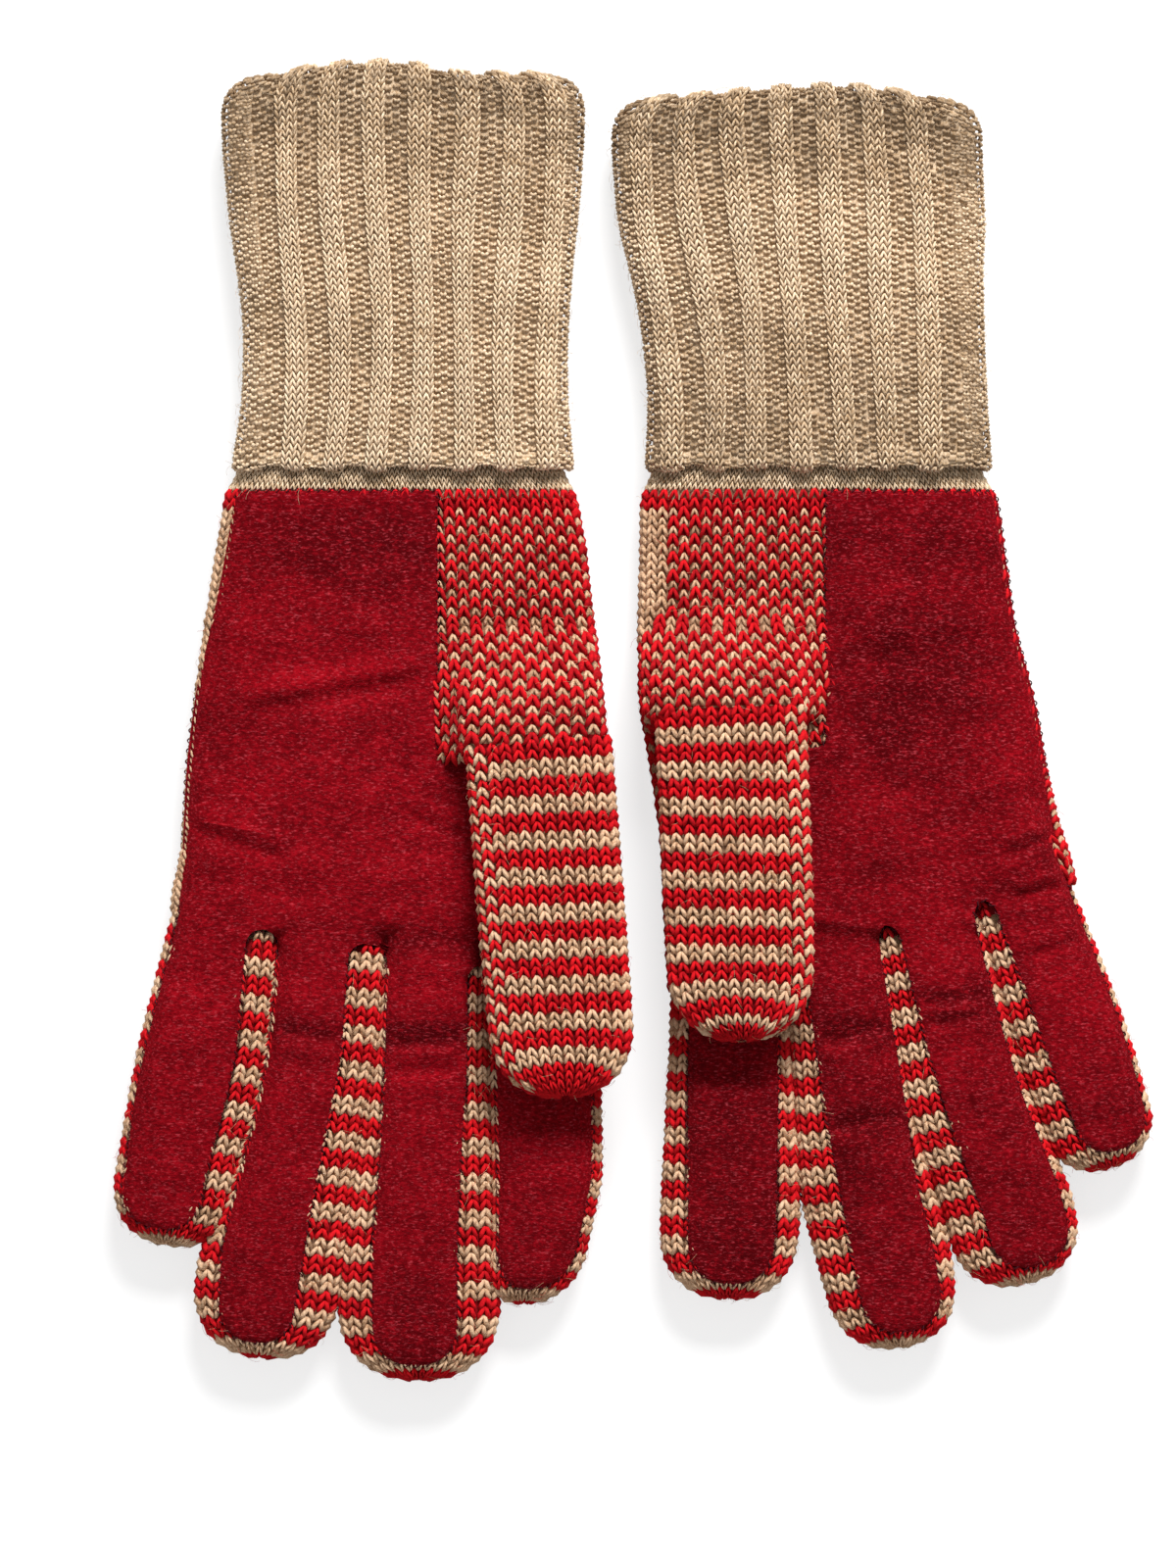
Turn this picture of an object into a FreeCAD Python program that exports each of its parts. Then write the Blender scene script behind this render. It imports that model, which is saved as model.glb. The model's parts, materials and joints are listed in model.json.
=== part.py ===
import FreeCAD, Part
import os
import Sketcher

# A pair of knitted ski gloves lying palm up, side by side. Millimetres and degrees.
# +Z is up (out of the palms), +Y runs from the fingertips to the cuffs.
# "across" is counted from the middle of the wrist towards the thumb side of its own glove,
# "down" from the wrist line towards the fingertips, and splay turns a digit to the thumb side.

SHARED = {
    "wall": 2.5,               # knitted fabric of the hand, the digits and the inner cuff
    "glove_thick": 14.0,       # hand and fingers, lying flat with room for a hand inside
    "soft_edge": 5.0,          # rounding along the two sides of the hand
    "digit_edge": 3.5,         # rounding along the fingers and the thumb
    "joint_gap": 0.3,          # between a digit and what it is hinged to
    "clearance": 0.3,          # between layers of cloth that lie on each other
    "root_overlap": 12.0,      # how far a finger's stub runs back into the hand
    "suede_thick": 1.2,
    "suede_side": 2.5,         # knit left showing outside the palm patch on the little side
    "suede_start": 1.5,        # wrist line to the patch's upper edge
    "suede_root_margin": 2.0,  # knit showing on each side of a finger's suede at its root
    "suede_tip_side": 5.5,     # and on each side near the tip
    "suede_tip_end": 7.0,      # and past the end of the suede
    "thread": 0.8,             # sewing thread, doubled
    "thumb_thick": 12.0,
    "gusset_flat": 10.0,       # level stretch of the gusset behind the thumb's root
    "gusset_length": 30.0,     # thumb's root to where the gusset meets the palm
    "wrist_half": 41.8,
    "palm_length": 105.0,      # wrist line to the root line of the fingers
    "wrist_height": 54.4,      # wrist line from the middle of the pair, along Y
    "cuff_length": 98.0,       # turned back part, fold to cast-on edge
    "cuff_start": 5.9,         # wrist line to the cast-on edge
    "cuff_thick": 17.0,
    "cuff_wall": 2.6,
    "cuff_half_top": 43.6,
    "cuff_half_waist": 38.9,
    "cuff_half_base": 41.1,
    "fold_corner": 9.0,        # plan rounding at the two ends of the fold
    "fold_edge": 6.0,          # rounding of the fold and of the cuff's sides
    "rib_pitch": 10.0,
    "rib_groove": 4.6,
    "rib_depth": 0.9,
    "rib_count": 8,
}

# side is 1 for the glove with its thumb towards +X and -1 for the other.
GLOVE = {
    "left": {
        "side": 1, "wrist_x": -56.3, "cuff_shift": 0.0,
        "thumb_side_mid": 48.1, "thumb_side_mid_down": 46.3, "thumb_side_end": 48.5,
        "little_side_mid": 51.8, "little_side_mid_down": 67.4, "little_side_end": 56.0,
        "web_index": 17.3, "web_index_down": 8.3, "web_middle": -7.9, "web_middle_down": 4.3,
        "web_ring": -32.5, "web_ring_down": 0.8, "suede_inner": 9.0,
    },
    "right": {
        "side": -1, "wrist_x": 43.8, "cuff_shift": 4.8,
        "thumb_side_mid": 42.9, "thumb_side_mid_down": 51.0, "thumb_side_end": 38.0,
        "little_side_mid": 53.5, "little_side_mid_down": 51.0, "little_side_end": 63.6,
        "web_index": 4.3, "web_index_down": 11.8, "web_middle": -16.6, "web_middle_down": 0.4,
        "web_ring": -41.0, "web_ring_down": -5.6, "suede_inner": -2.0,
    },
}

# across, down past the palm line (the thumb: past the wrist), splay, length, root and tip width
DIGIT_SIZES = ("across", "down", "splay", "length", "root_width", "tip_width")
FINGERS = ("index", "middle", "ring", "little")
DIGIT = {
    "left": {
        "thumb": (34.0, 63.9, 4.5, 80.6, 35.0, 34.5),
        "index": (35.2, 42.3, 0.0, 47.2, 27.3, 27.0),
        "middle": (4.8, 26.4, 0.0, 81.3, 26.4, 33.0),
        "ring": (-21.2, 10.4, -6.6, 92.3, 24.8, 31.0),
        "little": (-49.2, 26.0, -9.4, 50.5, 23.6, 24.0),
    },
    "right": {
        "thumb": (21.3, 58.0, -2.2, 72.9, 36.6, 35.0),
        "index": (20.1, 30.5, 1.6, 57.7, 30.0, 31.0),
        "middle": (-7.8, 14.5, -6.9, 86.8, 24.0, 31.0),
        "ring": (-36.8, 30.5, -13.2, 55.1, 24.4, 27.7),
        "little": (-58.1, 14.1, -17.7, 45.1, 23.5, 23.5),
    },
}

CUT_PAST = 1.0                 # how far a cut runs past the face that it opens
HALF_TURN_SHARE = 0.2929       # 1 - cos 45: where an arc's middle lies inside its square corner

doc = FreeCAD.newDocument("SkiGloves")
sheet = doc.addObject("Spreadsheet::Sheet", "Sizes")
nodes = []


def fill_sheet():
    rows = dict(SHARED)
    for glove, sizes in GLOVE.items():
        rows.update({f"{glove}_{name}": size for name, size in sizes.items()})
        for digit, values in DIGIT[glove].items():
            rows.update({f"{glove}_{digit}_{name}": size
                         for name, size in zip(DIGIT_SIZES, values)})
    for row, (name, size) in enumerate(rows.items(), start=1):
        sheet.set(f"A{row}", name)
        sheet.set(f"B{row}", str(size))
        sheet.setAlias(f"B{row}", name)
    doc.recompute()


def S(name):
    """The sheet's cell with this name, as an expression."""
    return f"Sizes.{name}"


def value(expression):
    return float(sheet.evalExpression(expression))


def new_body(name, x="0", y="0", z="0", turn="0"):
    body = doc.addObject("PartDesign::Body", name)
    body.Label = name
    for axis, expression in zip("xyz", (x, y, z)):
        body.setExpression(f"Placement.Base.{axis}", expression)
    body.setExpression("Placement.Rotation.Angle", turn)
    nodes.append(body)
    return body


def new_sketch(body, name, z="0", plane="XY_Plane", place=None, turn=None):
    """A sketch on one of the body's own planes, moved and turned in the body's XY plane."""
    sketch = body.newObject("Sketcher::SketchObject", name)
    origin_plane = next(f for f in body.Origin.OriginFeatures if f.Role == plane)
    sketch.AttachmentSupport = (origin_plane, [""])
    sketch.MapMode = "FlatFace"
    across, along = place or ("0", "0")
    if plane == "XY_Plane":
        upright = FreeCAD.Vector(0, 0, 1)
        base = (across, along, z)
    elif plane == "XZ_Plane":
        upright = FreeCAD.Vector(0, 1, 0)
        base = (across, z, f"-({along})")
    else:
        upright = FreeCAD.Vector(0, 1, 0)
        base = (along, z, across)
    if turn:
        start = FreeCAD.Rotation(upright, value(turn) or 0.001)
        sketch.AttachmentOffset = FreeCAD.Placement(FreeCAD.Vector(), start)
        sketch.setExpression("AttachmentOffset.Rotation.Angle", turn)
    for axis, expression in zip("xyz", base):
        sketch.setExpression(f"AttachmentOffset.Base.{axis}", expression)
    return sketch


def fix_point(sketch, geometry, end, x, y):
    for kind, expression in (("DistanceX", x), ("DistanceY", y)):
        size = value(expression)
        number = sketch.addConstraint(
            Sketcher.Constraint(kind, -1, 1, geometry, end, size))
        name = f"{kind}{geometry}_{end}"
        sketch.renameConstraint(number, name)
        sketch.setExpression(f"Constraints.{name}", expression)


def nearer_end(sketch, geometry, point):
    """1 or 2: which end of a line or arc lies at the point."""
    gaps = [sketch.getPoint(geometry, end).distanceToPoint(point) for end in (1, 2)]
    return 1 if gaps[0] <= gaps[1] else 2


def closed_outline(sketch, corners):
    """A closed outline of (x, y) corners. A corner with two more expressions starts an arc
    that runs to the next corner through that point."""
    spots = [FreeCAD.Vector(value(c[0]), value(c[1]), 0) for c in corners]
    for number, corner in enumerate(corners):
        start, stop = spots[number], spots[(number + 1) % len(corners)]
        if len(corner) == 4:
            through = FreeCAD.Vector(value(corner[2]), value(corner[3]), 0)
            sketch.addGeometry(Part.Arc(start, through, stop), False)
        else:
            sketch.addGeometry(Part.LineSegment(start, stop), False)
    for number, corner in enumerate(corners):
        before = (number - 1) % len(corners)
        here = nearer_end(sketch, number, spots[number])
        there = nearer_end(sketch, before, spots[number])
        sketch.addConstraint(Sketcher.Constraint("Coincident", before, there, number, here))
        fix_point(sketch, number, here, corner[0], corner[1])
    for number, corner in enumerate(corners):
        if len(corner) == 4:
            through = FreeCAD.Vector(value(corner[2]), value(corner[3]), 0)
            point = sketch.addGeometry(Part.Point(through), True)
            sketch.addConstraint(Sketcher.Constraint("PointOnObject", point, 1, number))
            fix_point(sketch, point, 1, corner[2], corner[3])
    doc.recompute()


def digit_outline(sketch, root, root_width, tip_width, tip):
    """A finger seen from above: two straight sides that run into a round end on the -Y side."""
    half_root, half_tip = value(root_width) / 2, value(tip_width) / 2
    root_y, middle_y = value(root), half_tip - value(tip)
    left, right = FreeCAD.Vector(-half_root, root_y), FreeCAD.Vector(half_root, root_y)
    left_tip, right_tip = FreeCAD.Vector(-half_tip, middle_y), FreeCAD.Vector(half_tip, middle_y)
    end = FreeCAD.Vector(0, middle_y - half_tip)
    sketch.addGeometry([Part.LineSegment(left, right), Part.LineSegment(right, right_tip),
                        Part.Arc(left_tip, end, right_tip), Part.LineSegment(left_tip, left)],
                       False)
    arc_left = nearer_end(sketch, 2, left_tip)
    arc_right = nearer_end(sketch, 2, right_tip)
    sketch.addConstraint(Sketcher.Constraint("Coincident", 0, 2, 1, 1))
    sketch.addConstraint(Sketcher.Constraint("Coincident", 3, 2, 0, 1))
    sketch.addConstraint(Sketcher.Constraint("Tangent", 1, 2, 2, arc_right))
    sketch.addConstraint(Sketcher.Constraint("Tangent", 3, 1, 2, arc_left))
    fix_point(sketch, 0, 1, f"-({root_width}) / 2", root)
    fix_point(sketch, 0, 2, f"({root_width}) / 2", root)
    fix_point(sketch, 2, 3, "0", f"({tip_width}) / 2 - ({tip})")
    radius = sketch.addConstraint(Sketcher.Constraint("Radius", 2, half_tip))
    sketch.renameConstraint(radius, "TipRadius")
    sketch.setExpression("Constraints.TipRadius", f"({tip_width}) / 2")
    doc.recompute()


def rectangle(sketch, half_width, low, high):
    closed_outline(sketch, [(f"-({half_width})", low), (half_width, low),
                            (half_width, high), (f"-({half_width})", high)])


def pad(body, name, sketch, length, backwards=False, both_ways=False):
    feature = body.newObject("PartDesign::Pad", name)
    feature.Profile = sketch
    feature.Reversed = backwards
    feature.Midplane = both_ways
    feature.setExpression("Length", length)
    doc.recompute()
    return feature


def pocket(body, name, sketch, length, backwards=False, both_ways=False):
    """A cut, which has to take something away."""
    before = body.Shape.Volume
    feature = body.newObject("PartDesign::Pocket", name)
    feature.Profile = sketch
    feature.Reversed = backwards
    feature.Midplane = both_ways
    feature.setExpression("Length", length)
    doc.recompute()
    if body.Shape.Volume > before - 1:
        raise RuntimeError(f"{body.Label}: {name} cuts nothing")
    return feature


def fillet(body, name, feature, radius, wanted):
    """Rounds the feature's edges for which wanted(edge) is true."""
    names = [f"Edge{number}" for number, edge in enumerate(feature.Shape.Edges, start=1)
             if wanted(edge)]
    rounding = body.newObject("PartDesign::Fillet", name)
    rounding.Base = (feature, names)
    rounding.setExpression("Radius", radius)
    doc.recompute()
    return rounding


def level(edge):
    return edge.BoundBox.ZLength < 1e-6


def upright_line(edge):
    return edge.BoundBox.XLength < 1e-6 and edge.BoundBox.YLength < 1e-6


# ---------------------------------------------------------------- places shared by the pieces

def x_of(glove, expression):
    """Across, from the wrist's middle towards the thumb, as a coordinate along X."""
    return f"{S(glove + '_side')} * ({expression})"


def wrist_place(glove):
    return S(f"{glove}_wrist_x"), S("wrist_height")


def digit_place(glove, digit):
    """The middle of a digit's hinge line in its glove's own frame, and its turn about Z."""
    own = f"{glove}_{digit}"
    x = x_of(glove, S(own + "_across"))
    down = S(own + "_down") if digit == "thumb" else f"{S('palm_length')} + {S(own + '_down')}"
    return (x, f"-({down})"), x_of(glove, S(own + "_splay"))


def digit_body(glove, digit, name, z="0"):
    (x, y), turn = digit_place(glove, digit)
    wrist_x, wrist_y = wrist_place(glove)
    return new_body(name, f"{wrist_x} + {x}", f"{wrist_y} + {y}", z, turn)


def glove_body(glove, name, z="0"):
    x, y = wrist_place(glove)
    return new_body(name, x, y, z)


THUMB_HEIGHT = f"{S('glove_thick')} + {S('suede_thick')} + {S('clearance')}"
THUMB_TOP = f"{THUMB_HEIGHT} + {S('thumb_thick')}"
CUFF_TOP = f"{S('cuff_start')} + {S('cuff_length')}"
BAND_INSET = f"{S('cuff_wall')} + {S('clearance')}"
MOUTH_INSET = f"{BAND_INSET} + {S('wall')}"
MOUTH_HEIGHT = f"{S('cuff_thick')} - 2 * ({MOUTH_INSET})"


# ---------------------------------------------------------------- the hand

def palm_corners(glove, inset, start):
    """The hand's outline from the wrist to the finger roots, drawn in by inset."""
    def corner(name, sign, down):
        return x_of(glove, f"{sign} * ({S(glove + '_' + name)} - ({inset}))"), down

    def web(finger):
        down = f"{S('palm_length')} + {S(glove + '_web_' + finger + '_down')}"
        return x_of(glove, S(f"{glove}_web_{finger}")), f"-({down} - ({inset}))"

    wrist = f"{S('wrist_half')} - ({inset})"
    index_end = f"-({S('palm_length')} + {S(glove + '_web_index_down')} - ({inset}))"
    little_end = f"-({S('palm_length')} - ({inset}))"
    thumb_mid = corner("thumb_side_mid", 1, f"-{S(glove + '_thumb_side_mid_down')}")
    little_mid = corner("little_side_mid", -1, f"-{S(glove + '_little_side_mid_down')}")
    return [
        (x_of(glove, wrist), start, *thumb_mid),
        corner("thumb_side_end", 1, index_end),
        web("index"), web("middle"), web("ring"),
        (*corner("little_side_end", -1, little_end), *little_mid),
        (x_of(glove, f"-({wrist})"), start),
    ]


def stub_length(glove, finger):
    return f"{S(f'{glove}_{finger}_down')} + {S('root_overlap')}"


def rounded_section(sketch, width, height, radius):
    """A finger's section, standing on the sketch's X axis."""
    half = f"({width}) / 2"
    inner = f"{half} - {radius}"
    near = f"{radius} * {HALF_TURN_SHARE}"
    closed_outline(sketch, [
        (f"-({inner})", "0"),
        (inner, "0", f"{half} - {near}", near),
        (half, radius),
        (half, f"{height} - {radius}", f"{half} - {near}", f"{height} - {near}"),
        (inner, height),
        (f"-({inner})", height, f"{near} - {half}", f"{height} - {near}"),
        (f"-({half})", f"{height} - {radius}"),
        (f"-({half})", radius, f"{near} - {half}", near),
    ])


def add_stub(body, glove, finger):
    """The root of a finger, up to its hinge line."""
    place, turn = digit_place(glove, finger)
    sketch = new_sketch(body, f"{body.Name}_{finger}_section", "0", "XZ_Plane", place, turn)
    rounded_section(sketch, S(f"{glove}_{finger}_root_width"), S("glove_thick"), S("digit_edge"))
    pad(body, f"{body.Name}_{finger}_stub", sketch, stub_length(glove, finger), True)


def hollow_stub(body, glove, finger):
    place, turn = digit_place(glove, finger)
    sketch = new_sketch(body, f"{body.Name}_{finger}_bore", "0", "XZ_Plane", place, turn)
    half = f"{S(f'{glove}_{finger}_root_width')} / 2 - {S('wall')}"
    rectangle(sketch, half, S("wall"), f"{S('glove_thick')} - {S('wall')}")
    pocket(body, f"{body.Name}_{finger}_hollow", sketch, stub_length(glove, finger))


def gusset_sketch(body, glove, name, corners):
    place, turn = digit_place(glove, "thumb")
    sketch = new_sketch(body, name, "0", "YZ_Plane", place, turn)
    closed_outline(sketch, corners)
    return sketch


def add_gusset(body, glove):
    """The raised cloth that carries the thumb above the palm."""
    sketch = gusset_sketch(body, glove, f"{body.Name}_gusset_side", [
        ("0", "0"), (S("gusset_length"), "0"), (S("gusset_length"), S("glove_thick")),
        (S("gusset_flat"), THUMB_TOP), ("0", THUMB_TOP)])
    pad(body, f"{body.Name}_gusset", sketch, S(f"{glove}_thumb_root_width"), both_ways=True)


def hollow_gusset(body, glove):
    wall = S("wall")
    far = f"{S('gusset_length')} - 2 * {wall}"
    sketch = gusset_sketch(body, glove, f"{body.Name}_gusset_bore", [
        (f"-{CUT_PAST}", f"{THUMB_HEIGHT} + {wall}"), (wall, f"{THUMB_HEIGHT} + {wall}"),
        (wall, wall), (far, wall), (far, f"{S('glove_thick')} - {wall}"),
        (f"{S('gusset_flat')} - {wall}", f"{THUMB_TOP} - {wall}"),
        (f"-{CUT_PAST}", f"{THUMB_TOP} - {wall}")])
    width = f"{S(f'{glove}_thumb_root_width')} - 2 * {wall}"
    pocket(body, f"{body.Name}_gusset_hollow", sketch, width, both_ways=True)


def make_hand(glove):
    body = glove_body(glove, f"{glove}_hand")
    plan = new_sketch(body, f"{body.Name}_plan")
    closed_outline(plan, palm_corners(glove, "0", "0"))
    palm = pad(body, f"{body.Name}_palm", plan, S("glove_thick"))
    fillet(body, f"{body.Name}_sides", palm, S("soft_edge"),
           lambda edge: level(edge) and isinstance(edge.Curve, Part.Circle))
    add_gusset(body, glove)
    for finger in FINGERS:
        add_stub(body, glove, finger)
    room = new_sketch(body, f"{body.Name}_room", S("wall"))
    closed_outline(room, palm_corners(glove, S("wall"), f"-{S('wall')}"))
    pocket(body, f"{body.Name}_hollow", room, f"{S('glove_thick')} - 2 * {S('wall')}", True)
    for finger in FINGERS:
        hollow_stub(body, glove, finger)
    hollow_gusset(body, glove)
    mouth = new_sketch(body, f"{body.Name}_mouth", MOUTH_INSET)
    rectangle(mouth, f"{S('cuff_half_base')} - ({MOUTH_INSET})",
              f"-{S('wall')} - {CUT_PAST}", f"{CUT_PAST}")
    pocket(body, f"{body.Name}_wrist", mouth, MOUTH_HEIGHT, True)


# ---------------------------------------------------------------- the cuff

def cuff_corners(glove, inset, low, high):
    """The waisted cuff seen from above. Its upper end leans by cuff_shift."""
    shift = S(f"{glove}_cuff_shift")
    middle = f"{S('cuff_start')} + {S('cuff_length')} / 3"

    def spot(half, sign, share, along):
        return x_of(glove, f"{share} * {shift} + {sign} * ({S(half)} - ({inset}))"), along

    waist_right = spot("cuff_half_waist", 1, 0.33, middle)
    waist_left = spot("cuff_half_waist", -1, 0.33, middle)
    return [
        (*spot("cuff_half_base", 1, 0, low), *waist_right),
        spot("cuff_half_top", 1, 1, high),
        (*spot("cuff_half_top", -1, 1, high), *waist_left),
        spot("cuff_half_base", -1, 0, low),
    ]


def add_rib_grooves(body, name, z, backwards):
    """The purl channels between the knit ribs: one groove, repeated across the cuff."""
    sketch = new_sketch(body, f"{name}_channel", z)
    run = f"({S('rib_count')} - 1) * {S('rib_pitch')}"
    left = f"-({run}) / 2 - {S('rib_groove')} / 2"
    low = f"{S('cuff_start')} - {CUT_PAST}"
    high = f"{CUFF_TOP} - {S('fold_edge')}"
    right = f"{left} + {S('rib_groove')}"
    closed_outline(sketch, [(left, low), (right, low), (right, high), (left, high)])
    groove = pocket(body, f"{name}_groove", sketch, S("rib_depth"), backwards)
    pattern = body.newObject("PartDesign::LinearPattern", f"{name}_grooves")
    pattern.Originals = [groove]
    pattern.Direction = (sketch, ["H_Axis"])
    pattern.setExpression("Length", run)
    pattern.setExpression("Occurrences", S("rib_count"))
    before = body.Shape.Volume
    body.Tip = pattern
    doc.recompute()
    if body.Shape.Volume > before - 1:
        raise RuntimeError(f"{name}: the groove isn't repeated")


def make_cuff(glove):
    """The turned back rib: an outer layer, closed round the inner one at the fold."""
    body = glove_body(glove, f"{glove}_cuff")
    plan = new_sketch(body, f"{body.Name}_plan")
    closed_outline(plan, cuff_corners(glove, "0", S("cuff_start"), CUFF_TOP))
    block = pad(body, f"{body.Name}_block", plan, S("cuff_thick"))
    fold = value(CUFF_TOP)
    corners = fillet(body, f"{body.Name}_corners", block, S("fold_corner"),
                     lambda edge: upright_line(edge) and edge.BoundBox.YMax > fold - 1)
    start = value(S("cuff_start"))
    fillet(body, f"{body.Name}_soft", corners, S("fold_edge"),
           lambda edge: level(edge) and edge.BoundBox.YMax > start + 1)
    inset = S("cuff_wall")
    room = new_sketch(body, f"{body.Name}_room", inset)
    closed_outline(room, cuff_corners(glove, inset, f"{S('cuff_start')} - {CUT_PAST}",
                                      f"{CUFF_TOP} - {inset}"))
    pocket(body, f"{body.Name}_hollow", room, f"{S('cuff_thick')} - 2 * {inset}", True)
    mouth = new_sketch(body, f"{body.Name}_mouth", MOUTH_INSET)
    shift = S(f"{glove}_cuff_shift")
    half = f"{S('cuff_half_top')} - ({MOUTH_INSET})"
    ends = [x_of(glove, f"{shift} {sign} ({half})") for sign in "-+"]
    low, high = f"{CUFF_TOP} - 2 * {inset}", f"{CUFF_TOP} + {CUT_PAST}"
    closed_outline(mouth, [(ends[0], low), (ends[1], low), (ends[1], high), (ends[0], high)])
    pocket(body, f"{body.Name}_opening", mouth, MOUTH_HEIGHT, True)
    add_rib_grooves(body, f"{body.Name}_palm", S("cuff_thick"), False)
    add_rib_grooves(body, f"{body.Name}_back", "0", True)


def make_band(glove):
    """The inner layer of the cuff, plain knit, from the wrist line up to the fold."""
    body = glove_body(glove, f"{glove}_inner_cuff")
    top = f"{CUFF_TOP} - {S('cuff_wall')}"
    plan = new_sketch(body, f"{body.Name}_plan", BAND_INSET)
    closed_outline(plan, cuff_corners(glove, BAND_INSET, "0", top))
    pad(body, f"{body.Name}_block", plan, f"{S('cuff_thick')} - 2 * ({BAND_INSET})")
    room = new_sketch(body, f"{body.Name}_room", MOUTH_INSET)
    closed_outline(room, cuff_corners(glove, MOUTH_INSET, f"-{CUT_PAST}", f"{top} + {CUT_PAST}"))
    pocket(body, f"{body.Name}_hollow", room, MOUTH_HEIGHT, True)


# ---------------------------------------------------------------- the digits

def make_digit(glove, digit):
    """A hollow knitted finger or thumb with a closed round tip and an open root."""
    thumb = digit == "thumb"
    name = f"{glove}_{digit}" + ("" if thumb else "_finger")
    body = digit_body(glove, digit, name, THUMB_HEIGHT if thumb else "0")
    thick = S("thumb_thick") if thumb else S("glove_thick")
    own, wall = f"{glove}_{digit}", S("wall")
    plan = new_sketch(body, f"{name}_plan")
    digit_outline(plan, f"-{S('joint_gap')}", S(own + "_root_width"), S(own + "_tip_width"),
                  S(own + "_length"))
    tube = pad(body, f"{name}_tube", plan, thick)
    root = -value(S("joint_gap"))
    fillet(body, f"{name}_soft", tube, S("digit_edge"),
           lambda edge: level(edge) and edge.BoundBox.YMin < root - 1)
    room = new_sketch(body, f"{name}_room", wall)
    digit_outline(room, f"{CUT_PAST}", f"{S(own + '_root_width')} - 2 * {wall}",
                  f"{S(own + '_tip_width')} - 2 * {wall}", f"{S(own + '_length')} - {wall}")
    pocket(body, f"{name}_hollow", room, f"{thick} - 2 * {wall}", True)


# ---------------------------------------------------------------- suede and its seams

def suede_corners(glove, grow):
    """The palm patch: full height beside the jacquard, then under the thumb to the index side."""
    side = f"{S('suede_side')} - ({grow})"
    start = f"-({S('suede_start')} - ({grow}))"
    inner = x_of(glove, f"{S(glove + '_suede_inner')} + ({grow})")
    turn_down = f"-({S(glove + '_thumb_down')} + {S('joint_gap')} + 1.5 - ({grow}))"
    palm = palm_corners(glove, side, start)
    thumb_end, webs, wrist_little = palm[1], palm[2:5], palm[6]
    little_end, little_mid = palm[5][:2], palm[5][2:]
    return [(inner, start), (inner, turn_down), (thumb_end[0], turn_down), thumb_end, *webs,
            little_end, little_mid, wrist_little]


def add_suede_tab(body, glove, finger):
    """The patch runs on along the root of each finger to the hinge line."""
    place, turn = digit_place(glove, finger)
    sketch = new_sketch(body, f"{body.Name}_{finger}_tab_plan", S("glove_thick"),
                        place=place, turn=turn)
    half = f"{S(f'{glove}_{finger}_root_width')} / 2 - {S('suede_root_margin')}"
    rectangle(sketch, half, "0", stub_length(glove, finger))
    pad(body, f"{body.Name}_{finger}_tab", sketch, S("suede_thick"))


def make_palm_suede(glove):
    body = glove_body(glove, f"{glove}_palm_suede")
    plan = new_sketch(body, f"{body.Name}_plan", S("glove_thick"))
    closed_outline(plan, suede_corners(glove, "0"))
    pad(body, f"{body.Name}_sheet", plan, S("suede_thick"))
    for finger in FINGERS:
        add_suede_tab(body, glove, finger)


def make_palm_seam(glove):
    """The thread along the patch's upper edge and its two long sides."""
    body = glove_body(glove, f"{glove}_palm_seam")
    grown, flush = suede_corners(glove, S("thread")), suede_corners(glove, "0")
    stop = f"-({S(glove + '_thumb_down')})"
    plan = new_sketch(body, f"{body.Name}_plan", S("glove_thick"))
    closed_outline(plan, [
        grown[0], (grown[0][0], stop), (flush[0][0], stop), flush[0],
        flush[-1], flush[-2], grown[-2], grown[-1]])
    pad(body, f"{body.Name}_run", plan, S("thread"))


def make_digit_suede(glove, finger):
    own = f"{glove}_{finger}"
    widths = (f"{S(own + '_root_width')} - 2 * {S('suede_root_margin')}",
              f"{S(own + '_tip_width')} - 2 * {S('suede_tip_side')}")
    length = f"{S(own + '_length')} - {S('suede_tip_end')}"
    suede = digit_body(glove, finger, f"{own}_suede")
    plan = new_sketch(suede, f"{suede.Name}_plan", S("glove_thick"))
    digit_outline(plan, f"-{S('joint_gap')}", *widths, length)
    pad(suede, f"{suede.Name}_sheet", plan, S("suede_thick"))

    seam = digit_body(glove, finger, f"{own}_seam")
    outer = new_sketch(seam, f"{seam.Name}_plan", S("glove_thick"))
    grown = [f"{width} + 2 * {S('thread')}" for width in widths]
    digit_outline(outer, f"-2 * {S('joint_gap')}", *grown, f"{length} + {S('thread')}")
    pad(seam, f"{seam.Name}_run", outer, S("thread"))
    inner = new_sketch(seam, f"{seam.Name}_inner", S("glove_thick"))
    digit_outline(inner, f"-{S('joint_gap')}", *widths, length)
    pocket(seam, f"{seam.Name}_gap", inner, S("thread"), True)


# ---------------------------------------------------------------- build, check, write

def make_glove(glove):
    make_hand(glove)
    make_cuff(glove)
    make_band(glove)
    for digit in ("thumb", *FINGERS):
        make_digit(glove, digit)
    make_palm_suede(glove)
    make_palm_seam(glove)
    for finger in FINGERS:
        make_digit_suede(glove, finger)


def check_document():
    for item in doc.Objects:
        if {"Invalid", "Error"} & set(item.State):
            raise RuntimeError(f"{item.Name} failed: {item.State}")
    for body in nodes:
        shape = body.Shape
        if shape.isNull() or not shape.isValid() or len(shape.Solids) != 1:
            raise RuntimeError(f"{body.Label} isn't one valid solid")


def write_parts():
    os.makedirs("parts", exist_ok=True)
    for body in nodes:
        body.Shape.exportStep(f"parts/{body.Label}.step")
        box = body.Shape.BoundBox
        print(f"{body.Label:24s} {body.Shape.Volume:10.0f} mm3"
              f"  x {box.XMin:7.1f} {box.XMax:7.1f}  y {box.YMin:7.1f} {box.YMax:7.1f}"
              f"  z {box.ZMin:5.1f} {box.ZMax:5.1f}")


fill_sheet()
for glove_name in GLOVE:
    make_glove(glove_name)
doc.recompute()
check_document()
write_parts()
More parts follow.
